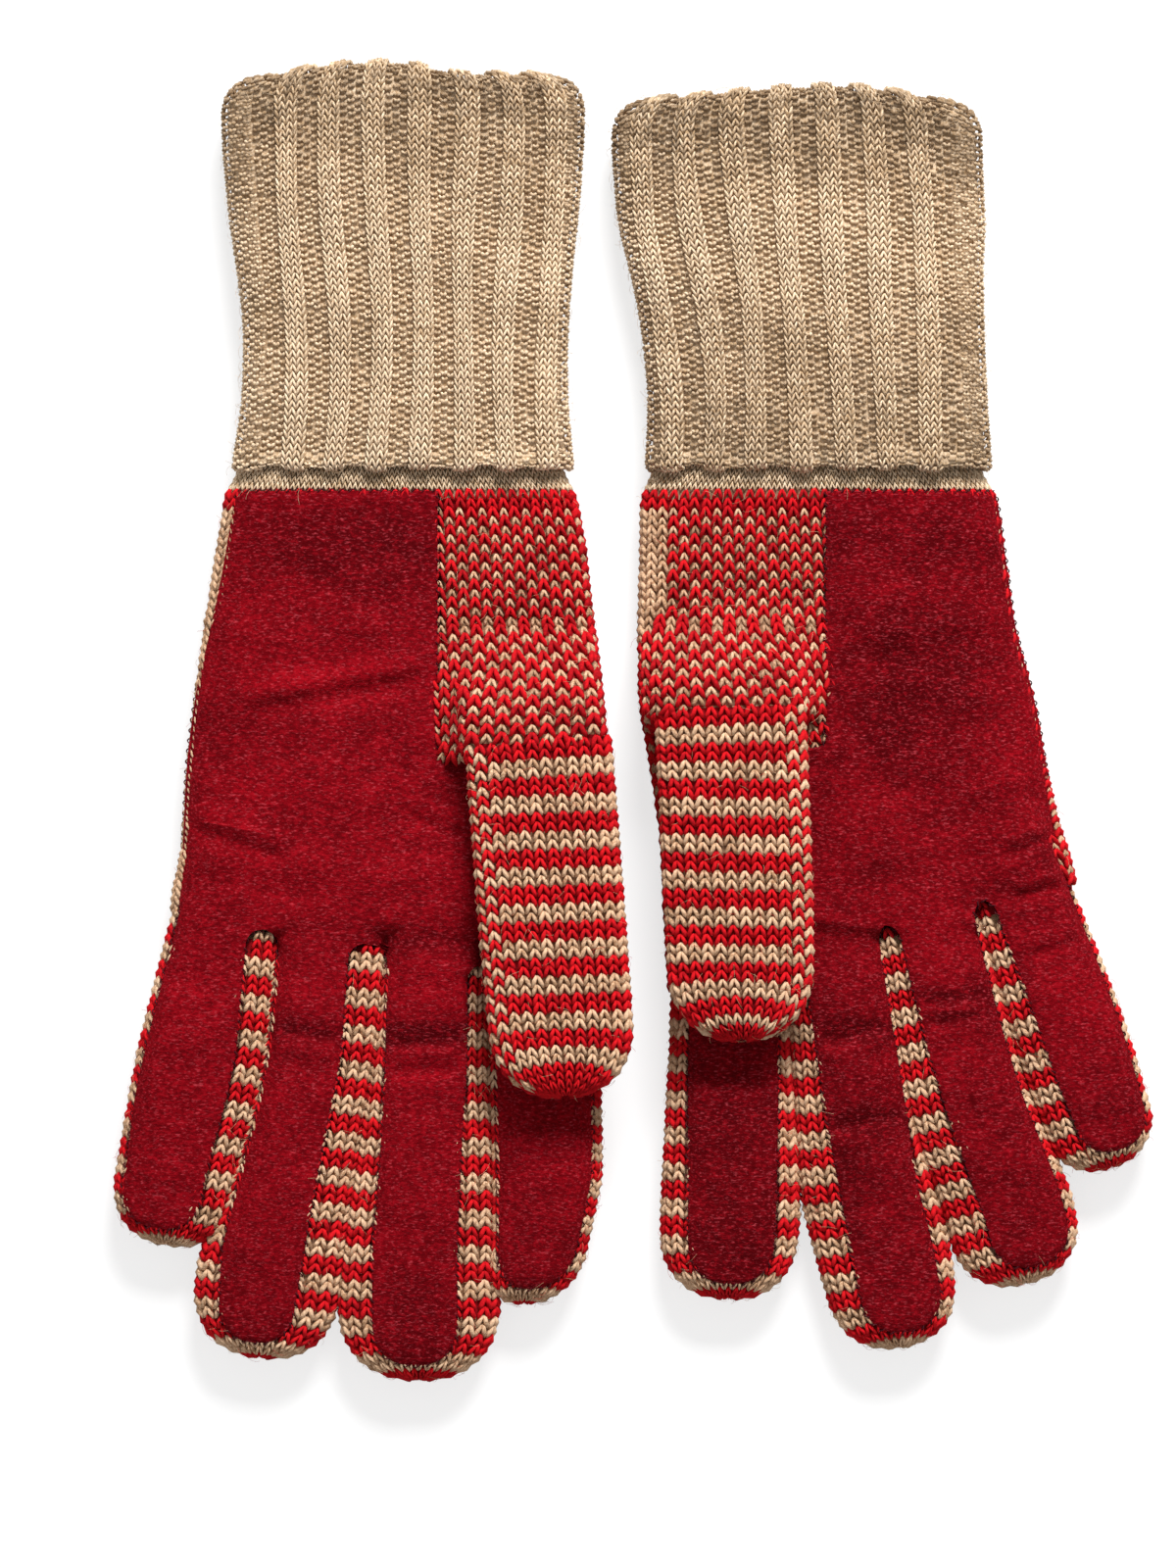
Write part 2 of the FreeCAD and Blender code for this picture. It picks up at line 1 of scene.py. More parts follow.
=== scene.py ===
# %% [markdown]
# # A pair of knitted ski gloves with suede palms
# The two gloves lie palm up. The construction model gives the place of every part and hinge; this
# script knits the cloth over it stitch by stitch, cuts and sews on the suede, and lights the pair.
# Lengths are worked out in millimetres and written to the meshes in metres.

import json
import math

import bmesh
import bpy
import numpy as np
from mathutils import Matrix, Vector


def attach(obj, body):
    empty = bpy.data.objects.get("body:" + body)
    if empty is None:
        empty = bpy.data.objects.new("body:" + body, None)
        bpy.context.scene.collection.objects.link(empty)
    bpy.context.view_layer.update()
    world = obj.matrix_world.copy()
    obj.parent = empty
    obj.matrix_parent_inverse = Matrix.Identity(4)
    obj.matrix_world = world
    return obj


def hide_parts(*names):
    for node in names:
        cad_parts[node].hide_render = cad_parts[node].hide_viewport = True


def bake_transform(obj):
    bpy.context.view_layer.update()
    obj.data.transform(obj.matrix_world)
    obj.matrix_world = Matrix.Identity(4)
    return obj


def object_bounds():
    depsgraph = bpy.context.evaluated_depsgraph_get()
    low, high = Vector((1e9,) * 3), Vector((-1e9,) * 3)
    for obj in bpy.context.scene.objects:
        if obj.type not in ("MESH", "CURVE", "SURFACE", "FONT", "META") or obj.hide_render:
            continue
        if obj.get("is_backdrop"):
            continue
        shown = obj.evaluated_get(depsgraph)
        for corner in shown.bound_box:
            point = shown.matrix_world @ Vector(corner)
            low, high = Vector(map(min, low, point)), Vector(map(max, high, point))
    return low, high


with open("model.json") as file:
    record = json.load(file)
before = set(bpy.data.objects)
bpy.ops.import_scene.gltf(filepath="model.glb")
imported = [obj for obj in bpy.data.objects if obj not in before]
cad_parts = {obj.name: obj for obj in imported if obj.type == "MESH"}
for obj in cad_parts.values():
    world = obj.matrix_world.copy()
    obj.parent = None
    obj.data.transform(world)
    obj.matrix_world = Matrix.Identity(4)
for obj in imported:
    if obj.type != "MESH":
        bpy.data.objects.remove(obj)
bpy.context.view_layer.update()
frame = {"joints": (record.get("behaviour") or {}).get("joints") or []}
MM = 0.001
rng = np.random.default_rng(7)

# %% [markdown]
# ## Sizes of the gloves
# `across` is counted from the middle of the wrist to the thumb side, `down` from the wrist line to
# the fingertips. The digits' hinge points and directions are read from the construction model's joints.

# %% Sizes
WRIST_Y = 54.4
FINGERS = ("index", "middle", "ring", "little")
GLOVES = {
    "left": {
        "side": 1, "wrist_x": -56.3,
        "thumb_edge": [
            (-30, 36.0), (-7, 37.5), (-3, 42.4), (0, 42.4), (13, 44.8), (32, 46.9), (51, 49.0),
            (62, 50.0), (80, 47.6), (130, 46.5)],
        "little_edge": [
            (-30, 36.0), (-7, 37.5), (-3, 41.8), (0, 42.2), (13, 44.3), (32, 47.3), (51, 49.9),
            (67, 51.6), (88, 52.7), (104, 55.6), (130, 57.0)],
        "roots": [(-60, 98.0), (-32.5, 104.4), (-7.9, 107.8), (17.3, 112.3), (50, 116.0)],
        "thumb_rows_from": -4.3, "suede_inner": 9.2, "lean": 0.9,
    },
    "right": {
        "side": -1, "wrist_x": 43.8,
        "thumb_edge": [
            (-30, 36.0), (-7, 37.5), (-3, 42.0), (0, 42.3), (30, 42.9), (51, 42.6), (62, 40.5),
            (76, 37.5), (105, 35.6), (130, 35.6)],
        "little_edge": [
            (-30, 36.0), (-7, 37.5), (-3, 42.8), (0, 43.4), (13, 45.3), (32, 47.8), (51, 53.0),
            (70, 56.0), (89, 59.2), (104, 63.0), (130, 64.7)],
        "roots": [(-68, 92.5), (-41.0, 96.8), (-16.6, 102.6), (4.3, 115.0), (40, 120.0)],
        "thumb_rows_from": -6.5, "suede_inner": -2.0, "lean": -1.0,
    },
}
# For each digit its length past the hinge, then stations along it: distance past the hinge, edge of
# the knitted tube on the little side and on the thumb side, and the same two edges of its suede.
DIGITS = {
    "left": {
        "thumb": (80.6, [
            (-20, -17.8, 17.0, 0, 0), (0, -17.8, 17.0, 0, 0), (40, -17.8, 17.0, 0, 0),
            (62, -17.4, 16.8, 0, 0)]),
        "index": (47.6, [
            (-60, -14.0, 14.0, -12.6, 11.0), (-34, -13.6, 13.4, -12.4, 11.0),
            (-2, -13.2, 13.2, -12.0, 11.0), (16, -12.8, 13.6, -11.6, 11.2),
            (33, -12.6, 10.2, -11.4, 7.6), (40, -13.8, 8.2, -11.8, 5.6),
            (48, -16.5, 5.5, -13.6, 3.0)]),
        "middle": (82.0, [
            (-45, -8.0, 16.2, -7.6, 11.5), (-20, -8.4, 16.2, -7.8, 11.5),
            (5, -10.8, 16.3, -8.2, 11.5), (27, -14.1, 18.0, -9.4, 10.1),
            (53, -18.3, 18.6, -11.5, 9.0), (62, -19.0, 18.4, -11.3, 9.2)]),
        "ring": (93.4, [
            (-45, -9.6, 16.5, -8.6, 8.3), (-9, -9.4, 16.7, -8.6, 8.3), (18, -9.0, 16.8, -7.9, 9.6),
            (33, -10.2, 15.8, -9.0, 8.4), (51, -12.9, 14.8, -11.6, 6.9),
            (63, -15.9, 14.6, -13.2, 6.2), (70, -18.6, 14.6, -13.8, 5.9),
            (80, -18.5, 14.4, -12.8, 5.3)]),
        "little": (50.3, [
            (-50, -8.6, 14.0, -7.4, 8.0), (-29, -10.6, 15.4, -8.6, 8.2),
            (2, -13.2, 17.9, -11.2, 10.6), (14, -13.7, 17.3, -12.0, 9.9),
            (33, -13.8, 15.0, -11.4, 8.0)]),
    },
    "right": {
        "thumb": (72.9, [
            (-20, -18.4, 17.4, 0, 0), (0, -18.4, 17.4, 0, 0), (40, -18.4, 17.0, 0, 0),
            (62, -17.6, 16.6, 0, 0)]),
        "index": (58.3, [
            (-50, -12.6, 15.0, -11.0, 11.0), (-3, -13.0, 15.3, -10.8, 10.9),
            (10, -14.6, 15.6, -11.2, 10.6), (34, -16.4, 16.3, -11.4, 9.9),
            (44, -16.0, 16.2, -11.1, 9.6)]),
        "middle": (86.8, [
            (-45, -9.0, 14.0, -8.6, 10.0), (-11, -9.2, 14.0, -8.6, 10.0),
            (3, -9.9, 14.3, -9.0, 9.9), (15, -10.6, 15.0, -9.6, 9.6),
            (31, -11.4, 15.9, -10.2, 9.2), (48, -13.9, 16.5, -10.6, 8.1),
            (58, -15.8, 15.4, -12.0, 7.4), (67, -16.0, 14.0, -13.0, 6.8),
            (76, -15.9, 12.5, -13.2, 6.0)]),
        "ring": (56.3, [
            (-60, -9.4, 15.0, -8.6, 9.8), (-33, -9.4, 14.9, -8.6, 9.8),
            (-23, -9.8, 14.8, -8.6, 9.9), (-6, -10.4, 15.8, -9.0, 9.7),
            (10, -11.2, 16.9, -10.0, 8.8), (20, -12.8, 16.4, -11.4, 7.6),
            (30, -14.6, 14.4, -13.0, 6.6), (38, -15.6, 13.6, -13.8, 5.4)]),
        "little": (45.0, [
            (-45, -9.6, 12.4, -8.6, 8.8), (-17, -11.2, 12.9, -10.0, 8.6),
            (1, -12.6, 13.3, -11.2, 7.8), (11, -13.0, 13.5, -11.6, 7.5),
            (22, -13.0, 13.2, -11.6, 7.2), (31, -12.7, 12.7, -11.0, 6.3)]),
    },
}
STITCH_ROW = 2.17       # rows of the hand and the digits
HAND_COLUMNS = 68
HAND_STITCH = 3.0       # widths that the stitches are shaped for
DIGIT_STITCH = 3.15
CUFF_ROW = 1.72
CUFF_STITCH = 1.85
CUFF_RIBS = 17
RIB = 6                 # three knit and three purl columns
HAND_MIDDLE = 7.0       # heights of the middle of the hand and of the thumb, which lies on the hand
THUMB_MIDDLE = 21.5
HAND_HALF = 6.3         # half thicknesses of the hand or a finger and of the thumb
THUMB_HALF = 5.3
PALM_SIDE = 8.0         # above this height a point of a hand or finger is on the palm side
TIP_MARGIN = 4.0        # a finger's suede stops this far before the fingertip
HAND_POWER, DIGIT_POWER, CUFF_POWER = 2.7, 2.35, 3.0        # how boxy a section is
CLOTH_DEPTH = 0.4       # of the cloth under the stitches
CUFF_CLOTH_DEPTH = 1.3
BAND_ROW = 1.74         # the finer knitting of the wrist band
BAND_STITCH = 1.5
CUFF_LENGTH = 95.3      # from the cast-on edge to the fold
FOLD_RADIUS = 2.7
CAST_ON_Y = WRIST_Y + 5.9
JITTER = {"knit": 0.03, "purl": 0.09}       # how far stitches stray, as a share of their size
RED_YARN, BEIGE_YARN, OATMEAL_YARN = range(3)


def smooth_curve(points, t, blur=5.0):
    """Runs through the points as a curve without corners."""
    xs, ys = zip(*points)
    return np.mean([np.interp(t + o, xs, ys) for o in np.linspace(-blur, blur, 9)], axis=0)


def ease(x):
    x = np.clip(x, 0, 1)
    return x * x * (3 - 2 * x)


def hinge(glove, digit):
    """Hinge point, direction to the tip and direction to the thumb side, in plan."""
    part = f"{glove}_{digit}_part"
    joint = next(j for j in frame["joints"] if j["child"] == part)
    ax, ay, _ = joint["axis"]
    along = np.array([-ay, ax])
    lateral = np.array([-ax, -ay]) * GLOVES[glove]["side"]
    return np.array(joint["pos_m"]) * 1000, along, lateral


def edges(glove, digit, s):
    """Tube edges on the little and thumb side and suede edges on the little and thumb side."""
    stations = np.array(DIGITS[glove][digit][1], float)
    return [smooth_curve(list(zip(stations[:, 0], stations[:, k])), s, 4.0) for k in (1, 2, 3, 4)]


def rounded_end(s, end, radius, power=2.3):
    """1 along a digit, falling to 0 at its rounded end."""
    x = np.clip((s - (end - radius)) / radius, 0, 1)
    return np.maximum(1 - x ** power, 1e-5) ** (1 / power)


# %% [markdown]
# ## Tubes
# Everything knitted is a flat lying tube. A tube is a table of points, one section for each step
# along it and equal steps round each section, starting in the middle of the back of the hand. The
# stitches are later laid on it like a sheet of knitting wrapped round.

# %% Tubes
ROUND = 160


def tube(origin, along, lateral, t, mid, half, high, centre, power,
         warp=None, inset=0.0, raised=None, bow=0.0, lean=0.0):
    """Sections of half width and half height around a centre line. raised gives the height of a point
    of the section, and warp may push all the points about."""
    angle = np.linspace(-math.pi / 2, 1.5 * math.pi, 721)
    top_at = len(angle) // 2
    cx = np.sign(np.cos(angle)) * np.abs(np.cos(angle)) ** (2 / power)
    cz = np.sign(np.sin(angle)) * np.abs(np.sin(angle)) ** (2 / power)
    t, mid, half, high, centre, inset = np.broadcast_arrays(
        *[np.asarray(v, float) for v in (t, mid, half, high, centre, inset)])
    points = np.zeros((len(t), ROUND + 1, 3))
    share = np.linspace(0, 1, ROUND + 1)
    for i in range(len(t)):
        x, z = max(half[i], 0.02) * cx, max(high[i], 0.02) * cz
        if raised is not None:
            z = raised(t[i], mid[i] + x, centre[i] + z) - centre[i]
        run = np.concatenate([[0], np.cumsum(np.hypot(np.diff(x), np.diff(z)))])
        up_side, down_side = run[top_at], run[-1] - run[top_at]
        place = np.where(share <= 0.5, share * 2 * up_side, up_side + (share * 2 - 1) * down_side)
        across = np.interp(place, run, x)
        up = np.interp(place, run, z)
        if inset[i]:
            across = across * (1 - inset[i] / max(half[i], 0.02))
            up = up * (1 - inset[i] / max(high[i], 0.02))
        plan = origin[:2] + along * t[i] + np.outer(mid[i] + across, lateral)
        points[i] = np.column_stack([plan, centre[i] + up])
    if warp is not None:
        points = warp(points)
    top = points[:, ROUND // 2]
    run = np.concatenate([[0], np.cumsum(np.linalg.norm(np.diff(top, axis=0), axis=1))])
    if t[0] <= 0:
        run -= np.interp(0, t, run)
    lengthwise = np.gradient(points, axis=0)
    ring = points[:, :-1]
    crosswise = np.roll(ring, -1, axis=1) - np.roll(ring, 1, axis=1)
    crosswise = np.concatenate([crosswise, crosswise[:, :1]], axis=1)
    normal = np.cross(crosswise, lengthwise)
    size = np.linalg.norm(normal, axis=2, keepdims=True)
    normal = np.where(size > 1e-6, normal / np.maximum(size, 1e-9), [0, 0, 1])
    outward = points - points.mean(axis=1, keepdims=True)
    if (normal * outward)[: max(3, len(t) // 3)].sum() < 0:
        normal = -normal
    return {"points": points, "normal": normal, "run": run, "t": t, "origin": origin, "along": along,
            "lateral": lateral, "mid": mid, "half": half, "high": high, "centre": centre, "power": power,
            "bow": bow, "lean": lean}


def on_tube(shape, share, run, height):
    """Points on the tube at a share of the way round and a distance along, lifted by height. Rows
    may lean, and may bow round the tip."""
    if shape["bow"]:
        side = 1 - np.abs(np.mod(share, 0.5) - 0.25) / 0.25
        run = (run + shape["bow"] * (side ** 2 - 0.25) * ease((run - shape["run"][-1] + 24) / 20)
               + shape["lean"] * np.interp(share, [0, 0.25, 0.75, 1], [0, 1, -1, 0]) * ease((run + 3) / 15))
    i = np.clip(np.interp(run, shape["run"], np.arange(len(shape["run"]))), 0, len(shape["run"]) - 1.001)
    j = np.minimum(np.clip(share, 0, 1) * ROUND, ROUND - 0.001)
    i0, j0 = i.astype(int), j.astype(int)
    fi, fj = (i - i0)[:, None], (j - j0)[:, None]

    def blend4(table):
        return (table[i0, j0] * (1 - fi) * (1 - fj) + table[i0 + 1, j0] * fi * (1 - fj)
                + table[i0, j0 + 1] * (1 - fi) * fj + table[i0 + 1, j0 + 1] * fi * fj)

    return blend4(shape["points"]) + blend4(shape["normal"]) * np.asarray(height)[:, None]


def top_of(shape, x, y):
    """Height of a tube's upper side over a point of the plan, and the hand's middle beside it."""
    rel = np.stack([x - shape["origin"][0], y - shape["origin"][1]], axis=-1)
    t = rel @ shape["along"]
    u = rel @ shape["lateral"] - np.interp(t, shape["t"], shape["mid"])
    half = np.interp(t, shape["t"], shape["half"])
    high = np.interp(t, shape["t"], shape["high"])
    inside = 1 - np.abs(u / np.maximum(half, 0.1)) ** shape["power"]
    z = np.interp(t, shape["t"], shape["centre"]) + high * np.clip(inside, 0, 1) ** (1 / shape["power"])
    gone = (inside <= 0) | (t < shape["t"][0]) | (t > shape["t"][-1])
    return np.where(gone, HAND_MIDDLE, z)


# %% The hands

def glove_place(glove, x, y):
    return (x - GLOVES[glove]["wrist_x"]) * GLOVES[glove]["side"], WRIST_Y - y


def across_down(glove, points):
    return glove_place(glove, points[..., 0], points[..., 1])


def gusset(glove, across, down, z):
    """The cloth of the hand's palm side, pushed up to the thumb's top behind the thumb's root."""
    g = GLOVES[glove]
    pivot, along, lateral = hinge(glove, "thumb")
    rel_x, rel_y = g["wrist_x"] + g["side"] * across - pivot[0], WRIST_Y - down - pivot[1]
    s = rel_x * along[0] + rel_y * along[1]
    u = rel_x * lateral[0] + rel_y * lateral[1]
    start = g["thumb_rows_from"]
    rise = ease((s + 34) / 26.0) * (1 - ease((s - start - 0.6) / 4.5))
    crown = 21.4 + THUMB_HALF * np.maximum(1 - np.abs(u / 18.6) ** DIGIT_POWER, 0) ** (1 / DIGIT_POWER)
    inner = ease((u + 26) / 10.0)
    upper = ease((z - 6.0) / 2.5)
    return z + (np.maximum(crown, z) - z) * rise * inner * upper


def hand_tube(glove):
    g = GLOVES[glove]
    t = np.linspace(-20, 106.5, 220)
    thumb_side = smooth_curve(g["thumb_edge"], t) - 0.8
    little_side = smooth_curve(g["little_edge"], t) - 0.8
    close = np.sqrt(np.clip(1 - np.clip((t - 98.5) / 8.0, 0, 1) ** 4, 0, 1))
    high = HAND_HALF * close
    roots_x, roots_y = zip(*g["roots"])

    def warp(points):
        across, down = across_down(glove, points)
        shift = (np.interp(across, roots_x, roots_y) - 104.0) * ease((down - 55) / 48)
        points[..., 1] -= shift
        upper = ease((points[..., 2] - 5.5) / 5.5)
        points[..., 2] += 0.35 * np.sin(points[..., 0] / 13 + 1.3) * np.sin(points[..., 1] / 17) * upper
        # the little hollow in the patterned cloth above the thumb
        dip = np.exp(-(((across - 29) / 12) ** 2 + ((down - 31) / 4.0) ** 2))
        points[..., 2] -= 1.8 * dip * upper * (1 if glove == "left" else 0.5)
        return points

    return tube(np.array([g["wrist_x"], WRIST_Y]), np.array([0.0, -1.0]), np.array([g["side"], 0.0]),
                t, (thumb_side - little_side) / 2, (thumb_side + little_side) / 2, high, HAND_MIDDLE,
                HAND_POWER, warp, raised=lambda t, x, z: gusset(glove, x, t, z))


def digit_tube(glove, digit):
    pivot, along, lateral = hinge(glove, digit)
    length = DIGITS[glove][digit][0]
    thumb = digit == "thumb"
    end = length - 0.7
    little, thumb_side, _, _ = edges(glove, digit, np.array([length - 14.0]))
    r = (thumb_side - little)[0] / 2
    back = 14.0 if thumb else 52.0
    t = np.concatenate([np.linspace(-back, end - r, 90, endpoint=False),
                        end - r + r * np.sin(np.linspace(0, math.pi / 2, 40))])
    little, thumb_side, _, _ = edges(glove, digit, t)
    little = little - 1.0 * (digit in ("index", "middle", "ring"))      # pressed against the neighbour
    thumb_side = thumb_side + 1.0 * (digit in ("middle", "ring", "little"))
    half = ((thumb_side - little) / 2 - 0.75) * rounded_end(t, end + 0.02, r)
    mid = (thumb_side + little) / 2
    x = np.clip((t - (end - r)) / r, 0, 1)
    fat = THUMB_HALF if thumb else HAND_HALF
    high = fat * (1 - 0.1 * ease(t / length)) * np.maximum(1 - x ** 4, 1e-5) ** 0.5
    if thumb:
        sink = ease((GLOVES[glove]["thumb_rows_from"] + 0.5 - t) / 8.0)
        high = high * (1 - 0.45 * sink)
        half = half * (1 - 0.12 * sink)
        centre = THUMB_MIDDLE - 1.2 * sink
    else:
        centre = HAND_MIDDLE - 0.25 * ease(t / length) * np.ones_like(t)
    return tube(pivot, along, lateral, t, mid, half, high, centre, DIGIT_POWER,
                bow=4.4 if thumb else 1.2, lean=GLOVES[glove]["lean"] if thumb else 0.0)


TUBES = {}
for glove in GLOVES:
    TUBES[glove] = {"hand": hand_tube(glove)}
    for digit in ("thumb",) + FINGERS:
        TUBES[glove][digit] = digit_tube(glove, digit)
print("tubes:", {g: list(v) for g, v in TUBES.items()})

# %% [markdown]
# ## Wool, suede and thread
# Wool is matt with a woolly sheen, mottled from stitch to stitch by the `shade` written on each
# stitch; below nought that shade is painted shade on the cloth between the stitches and in the cuffs'
# channels, and it is shifted along the cuffs as painted shade and light. Suede is deep crimson and napped,
# lighter and darker in patches of its own tone, with painted shade and painted highlights at its folds and
# creases.

# %% Materials


def linear(code):
    values = [int(code[i:i + 2], 16) / 255 for i in (1, 3, 5)]
    return tuple(v / 12.92 if v <= 0.04045 else ((v + 0.055) / 1.055) ** 2.4 for v in values) + (1.0,)


def new_material(name):
    m = bpy.data.materials.new(name)
    m.use_nodes = True
    nodes, links = m.node_tree.nodes, m.node_tree.links
    nodes.clear()
    out = nodes.new("ShaderNodeOutputMaterial")
    shader = nodes.new("ShaderNodeBsdfPrincipled")
    links.new(shader.outputs[0], out.inputs[0])
    return m, nodes, links, shader


def noise(nodes, links, scale, detail=2.0, stretch=None, rough=0.55):
    where = nodes.new("ShaderNodeTexCoord")
    tex = nodes.new("ShaderNodeTexNoise")
    tex.inputs["Scale"].default_value = scale
    tex.inputs["Detail"].default_value = detail
    tex.inputs["Roughness"].default_value = rough
    if stretch:
        turn = nodes.new("ShaderNodeMapping")
        turn.inputs["Scale"].default_value = stretch
        links.new(where.outputs["Object"], turn.inputs["Vector"])
        links.new(turn.outputs[0], tex.inputs["Vector"])
    else:
        links.new(where.outputs["Object"], tex.inputs["Vector"])
    return tex.outputs["Fac"] if "Fac" in tex.outputs else tex.outputs[0]


def mix(nodes, links, fac, a, b, mode="MIX"):
    m = nodes.new("ShaderNodeMix")
    m.data_type = "RGBA"
    m.blend_type = mode
    for socket, value in ((m.inputs["Factor"], fac), (m.inputs[6], a), (m.inputs[7], b)):
        if isinstance(value, bpy.types.NodeSocket):
            links.new(value, socket)
        else:
            socket.default_value = value
    return m.outputs[2]


def ramp(nodes, links, value, low, high, to_low=0.0, to_high=1.0):
    r = nodes.new("ShaderNodeMapRange")
    r.inputs["From Min"].default_value = low
    r.inputs["From Max"].default_value = high
    r.inputs["To Min"].default_value = to_low
    r.inputs["To Max"].default_value = to_high
    links.new(value, r.inputs["Value"])
    return r.outputs[0]


def finish_cloth(nodes, links, shader, colour, tint, surface, height, strength, distance):
    """Colour, a matt surface with a sheen, and small bumps; the distance is in metres."""
    links.new(colour, shader.inputs["Base Color"])
    names = ("Roughness", "Specular IOR Level", "Sheen Weight", "Sheen Roughness")
    for name, value in zip(names, surface):
        shader.inputs[name].default_value = value
    shader.inputs["Sheen Tint"].default_value = linear(tint)
    bump = nodes.new("ShaderNodeBump")
    bump.inputs["Strength"].default_value = strength
    bump.inputs["Distance"].default_value = distance
    links.new(height, bump.inputs["Height"])
    links.new(bump.outputs[0], shader.inputs["Normal"])


def wool(name, light, dark, deep, marl=0.5, sheen=0.25):
    m, nodes, links, shader = new_material(name)
    shade = nodes.new("ShaderNodeAttribute")
    shade.attribute_name = "shade"
    fibre = noise(nodes, links, 1350.0, 4.0, None, 0.7)
    patch = noise(nodes, links, 330.0, 2.0)
    c = mix(nodes, links, ramp(nodes, links, fibre, 0.42, 0.58), linear(dark), linear(light))
    c = mix(nodes, links, ramp(nodes, links, patch, 0.3, 0.7, 0.0, marl), c, linear(dark))
    # Large darker patches at random: painted shade standing in for the soft shading of an uneven surface.
    cloud = noise(nodes, links, 70.0, 2.0)
    c = mix(nodes, links, ramp(nodes, links, cloud, 0.35, 0.7, 0.0, 0.4), c, linear(dark))
    c = mix(nodes, links, ramp(nodes, links, shade.outputs["Fac"], 0.0, 1.0, 0.0, 0.55), c, linear(light))
    # Shade below nought darkens towards the deep colour: random tone on stitches, and painted shade on the
    # cloth under the stitches and in the cuff channels.
    c = mix(nodes, links, ramp(nodes, links, shade.outputs["Fac"], -1.0, 0.0, 0.85, 0.0), c, linear(deep))
    hairs = noise(nodes, links, 4200.0, 2.0)
    finish_cloth(nodes, links, shader, c, light, (0.92, 0.15, sheen, 0.5), hairs, 0.55, 0.00022)
    return m


def suede_material(name, tips_and_glints, light, middle, dark):
    m, nodes, links, shader = new_material(name)
    # The value read here darkens and lightens the suede: its own tone in patches, and painted shade and
    # painted highlights at folds and creases.
    nap_and_shade_input = nodes.new("ShaderNodeAttribute")
    nap_and_shade_input.attribute_name = "nap_and_painted_shade"
    cloud = noise(nodes, links, 120.0, 4.0)
    fleece = noise(nodes, links, 1250.0, 4.0, (0.55, 1.0, 1.0), 0.7)
    fleck_and_glint = noise(nodes, links, 2300.0, 2.0, (0.4, 1.0, 1.0))
    lie = nodes.new("ShaderNodeMath")
    lie.operation = "ADD"
    links.new(nap_and_shade_input.outputs["Fac"], lie.inputs[0])
    links.new(ramp(nodes, links, cloud, 0.3, 0.7, -0.22, 0.22), lie.inputs[1])
    c = mix(nodes, links, ramp(nodes, links, lie.outputs[0], 0.0, 1.0), linear(dark), linear(middle))
    c = mix(nodes, links, ramp(nodes, links, fleece, 0.38, 0.54, 0.6, 0.0), c, linear(dark))
    c = mix(nodes, links, ramp(nodes, links, fleece, 0.5, 0.72, 0.0, 0.55), c, linear(light))
    # Sparse light flecks: the fibres' lighter tips, partly painted glints on them.
    c = mix(nodes, links, ramp(nodes, links, fleck_and_glint, 0.56, 0.74, 0.0, 0.5), c, linear(tips_and_glints))
    finish_cloth(nodes, links, shader, c, light, (0.95, 0.04, 0.15, 0.4), fleece, 0.8, 0.0005)
    return m


RED = wool("red wool", "#e2161f", "#a60a16", "#3c0408", 0.4)
BEIGE = wool("beige wool", "#f2cdaa", "#a87e5c", "#57331f", 0.4)
OATMEAL = wool("oatmeal wool", "#fbe4c6", "#b3946f", "#6b5239", 0.35)
SUEDE = suede_material("crimson suede", "#cf4a56", "#b51423", "#8c0613", "#4e0207")
THREAD = wool("dark thread", "#641a22", "#380c14", "#180408", 0.5, 0.0)
YARNS = [RED, BEIGE, OATMEAL]

# %% [markdown]
# ## Knitting
# One stitch is two plump legs that lean together. Array modifiers repeat it into a flat sheet, one
# unit wide and one unit long for each stitch, and the sheet is then wrapped onto its tube.

# %% The stitch and the sheet


def mesh_from(bm, name):
    mesh = bpy.data.meshes.new(name)
    bm.to_mesh(mesh)
    bm.free()
    return mesh


def evaluated(ob):
    """The object's shape with its modifiers or bevel worked out, as a new mesh."""
    graph = bpy.context.evaluated_depsgraph_get()
    return bpy.data.meshes.new_from_object(ob.evaluated_get(graph))


def write_values(mesh, name, values):
    """One number for each point, that the materials read by its name."""
    mesh.attributes.new(name, "FLOAT", "POINT").data.foreach_set("value", values.astype(np.float32))


def leg(bm, size, turn, place):
    made = bmesh.ops.create_icosphere(bm, subdivisions=1, radius=1.0)["verts"]
    bmesh.ops.scale(bm, vec=size, verts=made)
    c, s = math.cos(turn), math.sin(turn)
    for v in made:
        v.co.x, v.co.y = v.co.x * c + v.co.y * s, v.co.y * c - v.co.x * s
    bmesh.ops.translate(bm, vec=place, verts=made)


def stitch(kind, width, row):
    """A knit stitch (V) or the ridge of a purl stitch, in a cell of one by one, thickness in mm."""
    bm = bmesh.new()
    thick = 0.27 * width + 0.22
    for side in (-1, 1):
        if kind == "knit":
            size, turn = (0.185 * width, 0.86 * row, thick), side * (0.34 + 0.02 * width)
            aside = 0.235 * width
        else:
            size, turn = (0.27 * row, 0.36 * width, thick * 0.8), math.pi / 2 - side * 0.75
            aside = 0.24 * width
        leg(bm, size, turn, (aside * side, 0, 0))
    bmesh.ops.scale(bm, vec=(1 / width, 1 / row, 1), verts=bm.verts)
    bmesh.ops.translate(bm, vec=(0.5, 0.5, 0), verts=bm.verts)
    return mesh_from(bm, "stitch")


def repeated(mesh, across, along):
    """The mesh copied across times and along times, one unit apart, as one new mesh."""
    ob = bpy.data.objects.new("sheet", mesh)
    bpy.context.scene.collection.objects.link(ob)
    for count, step in ((across, (1, 0, 0)), (along, (0, 1, 0))):
        array = ob.modifiers.new("repeat", "ARRAY")
        array.count = count
        array.use_relative_offset = False
        array.use_constant_offset = True
        array.constant_offset_displace = step
    made = evaluated(ob)
    bpy.data.objects.remove(ob)
    return made


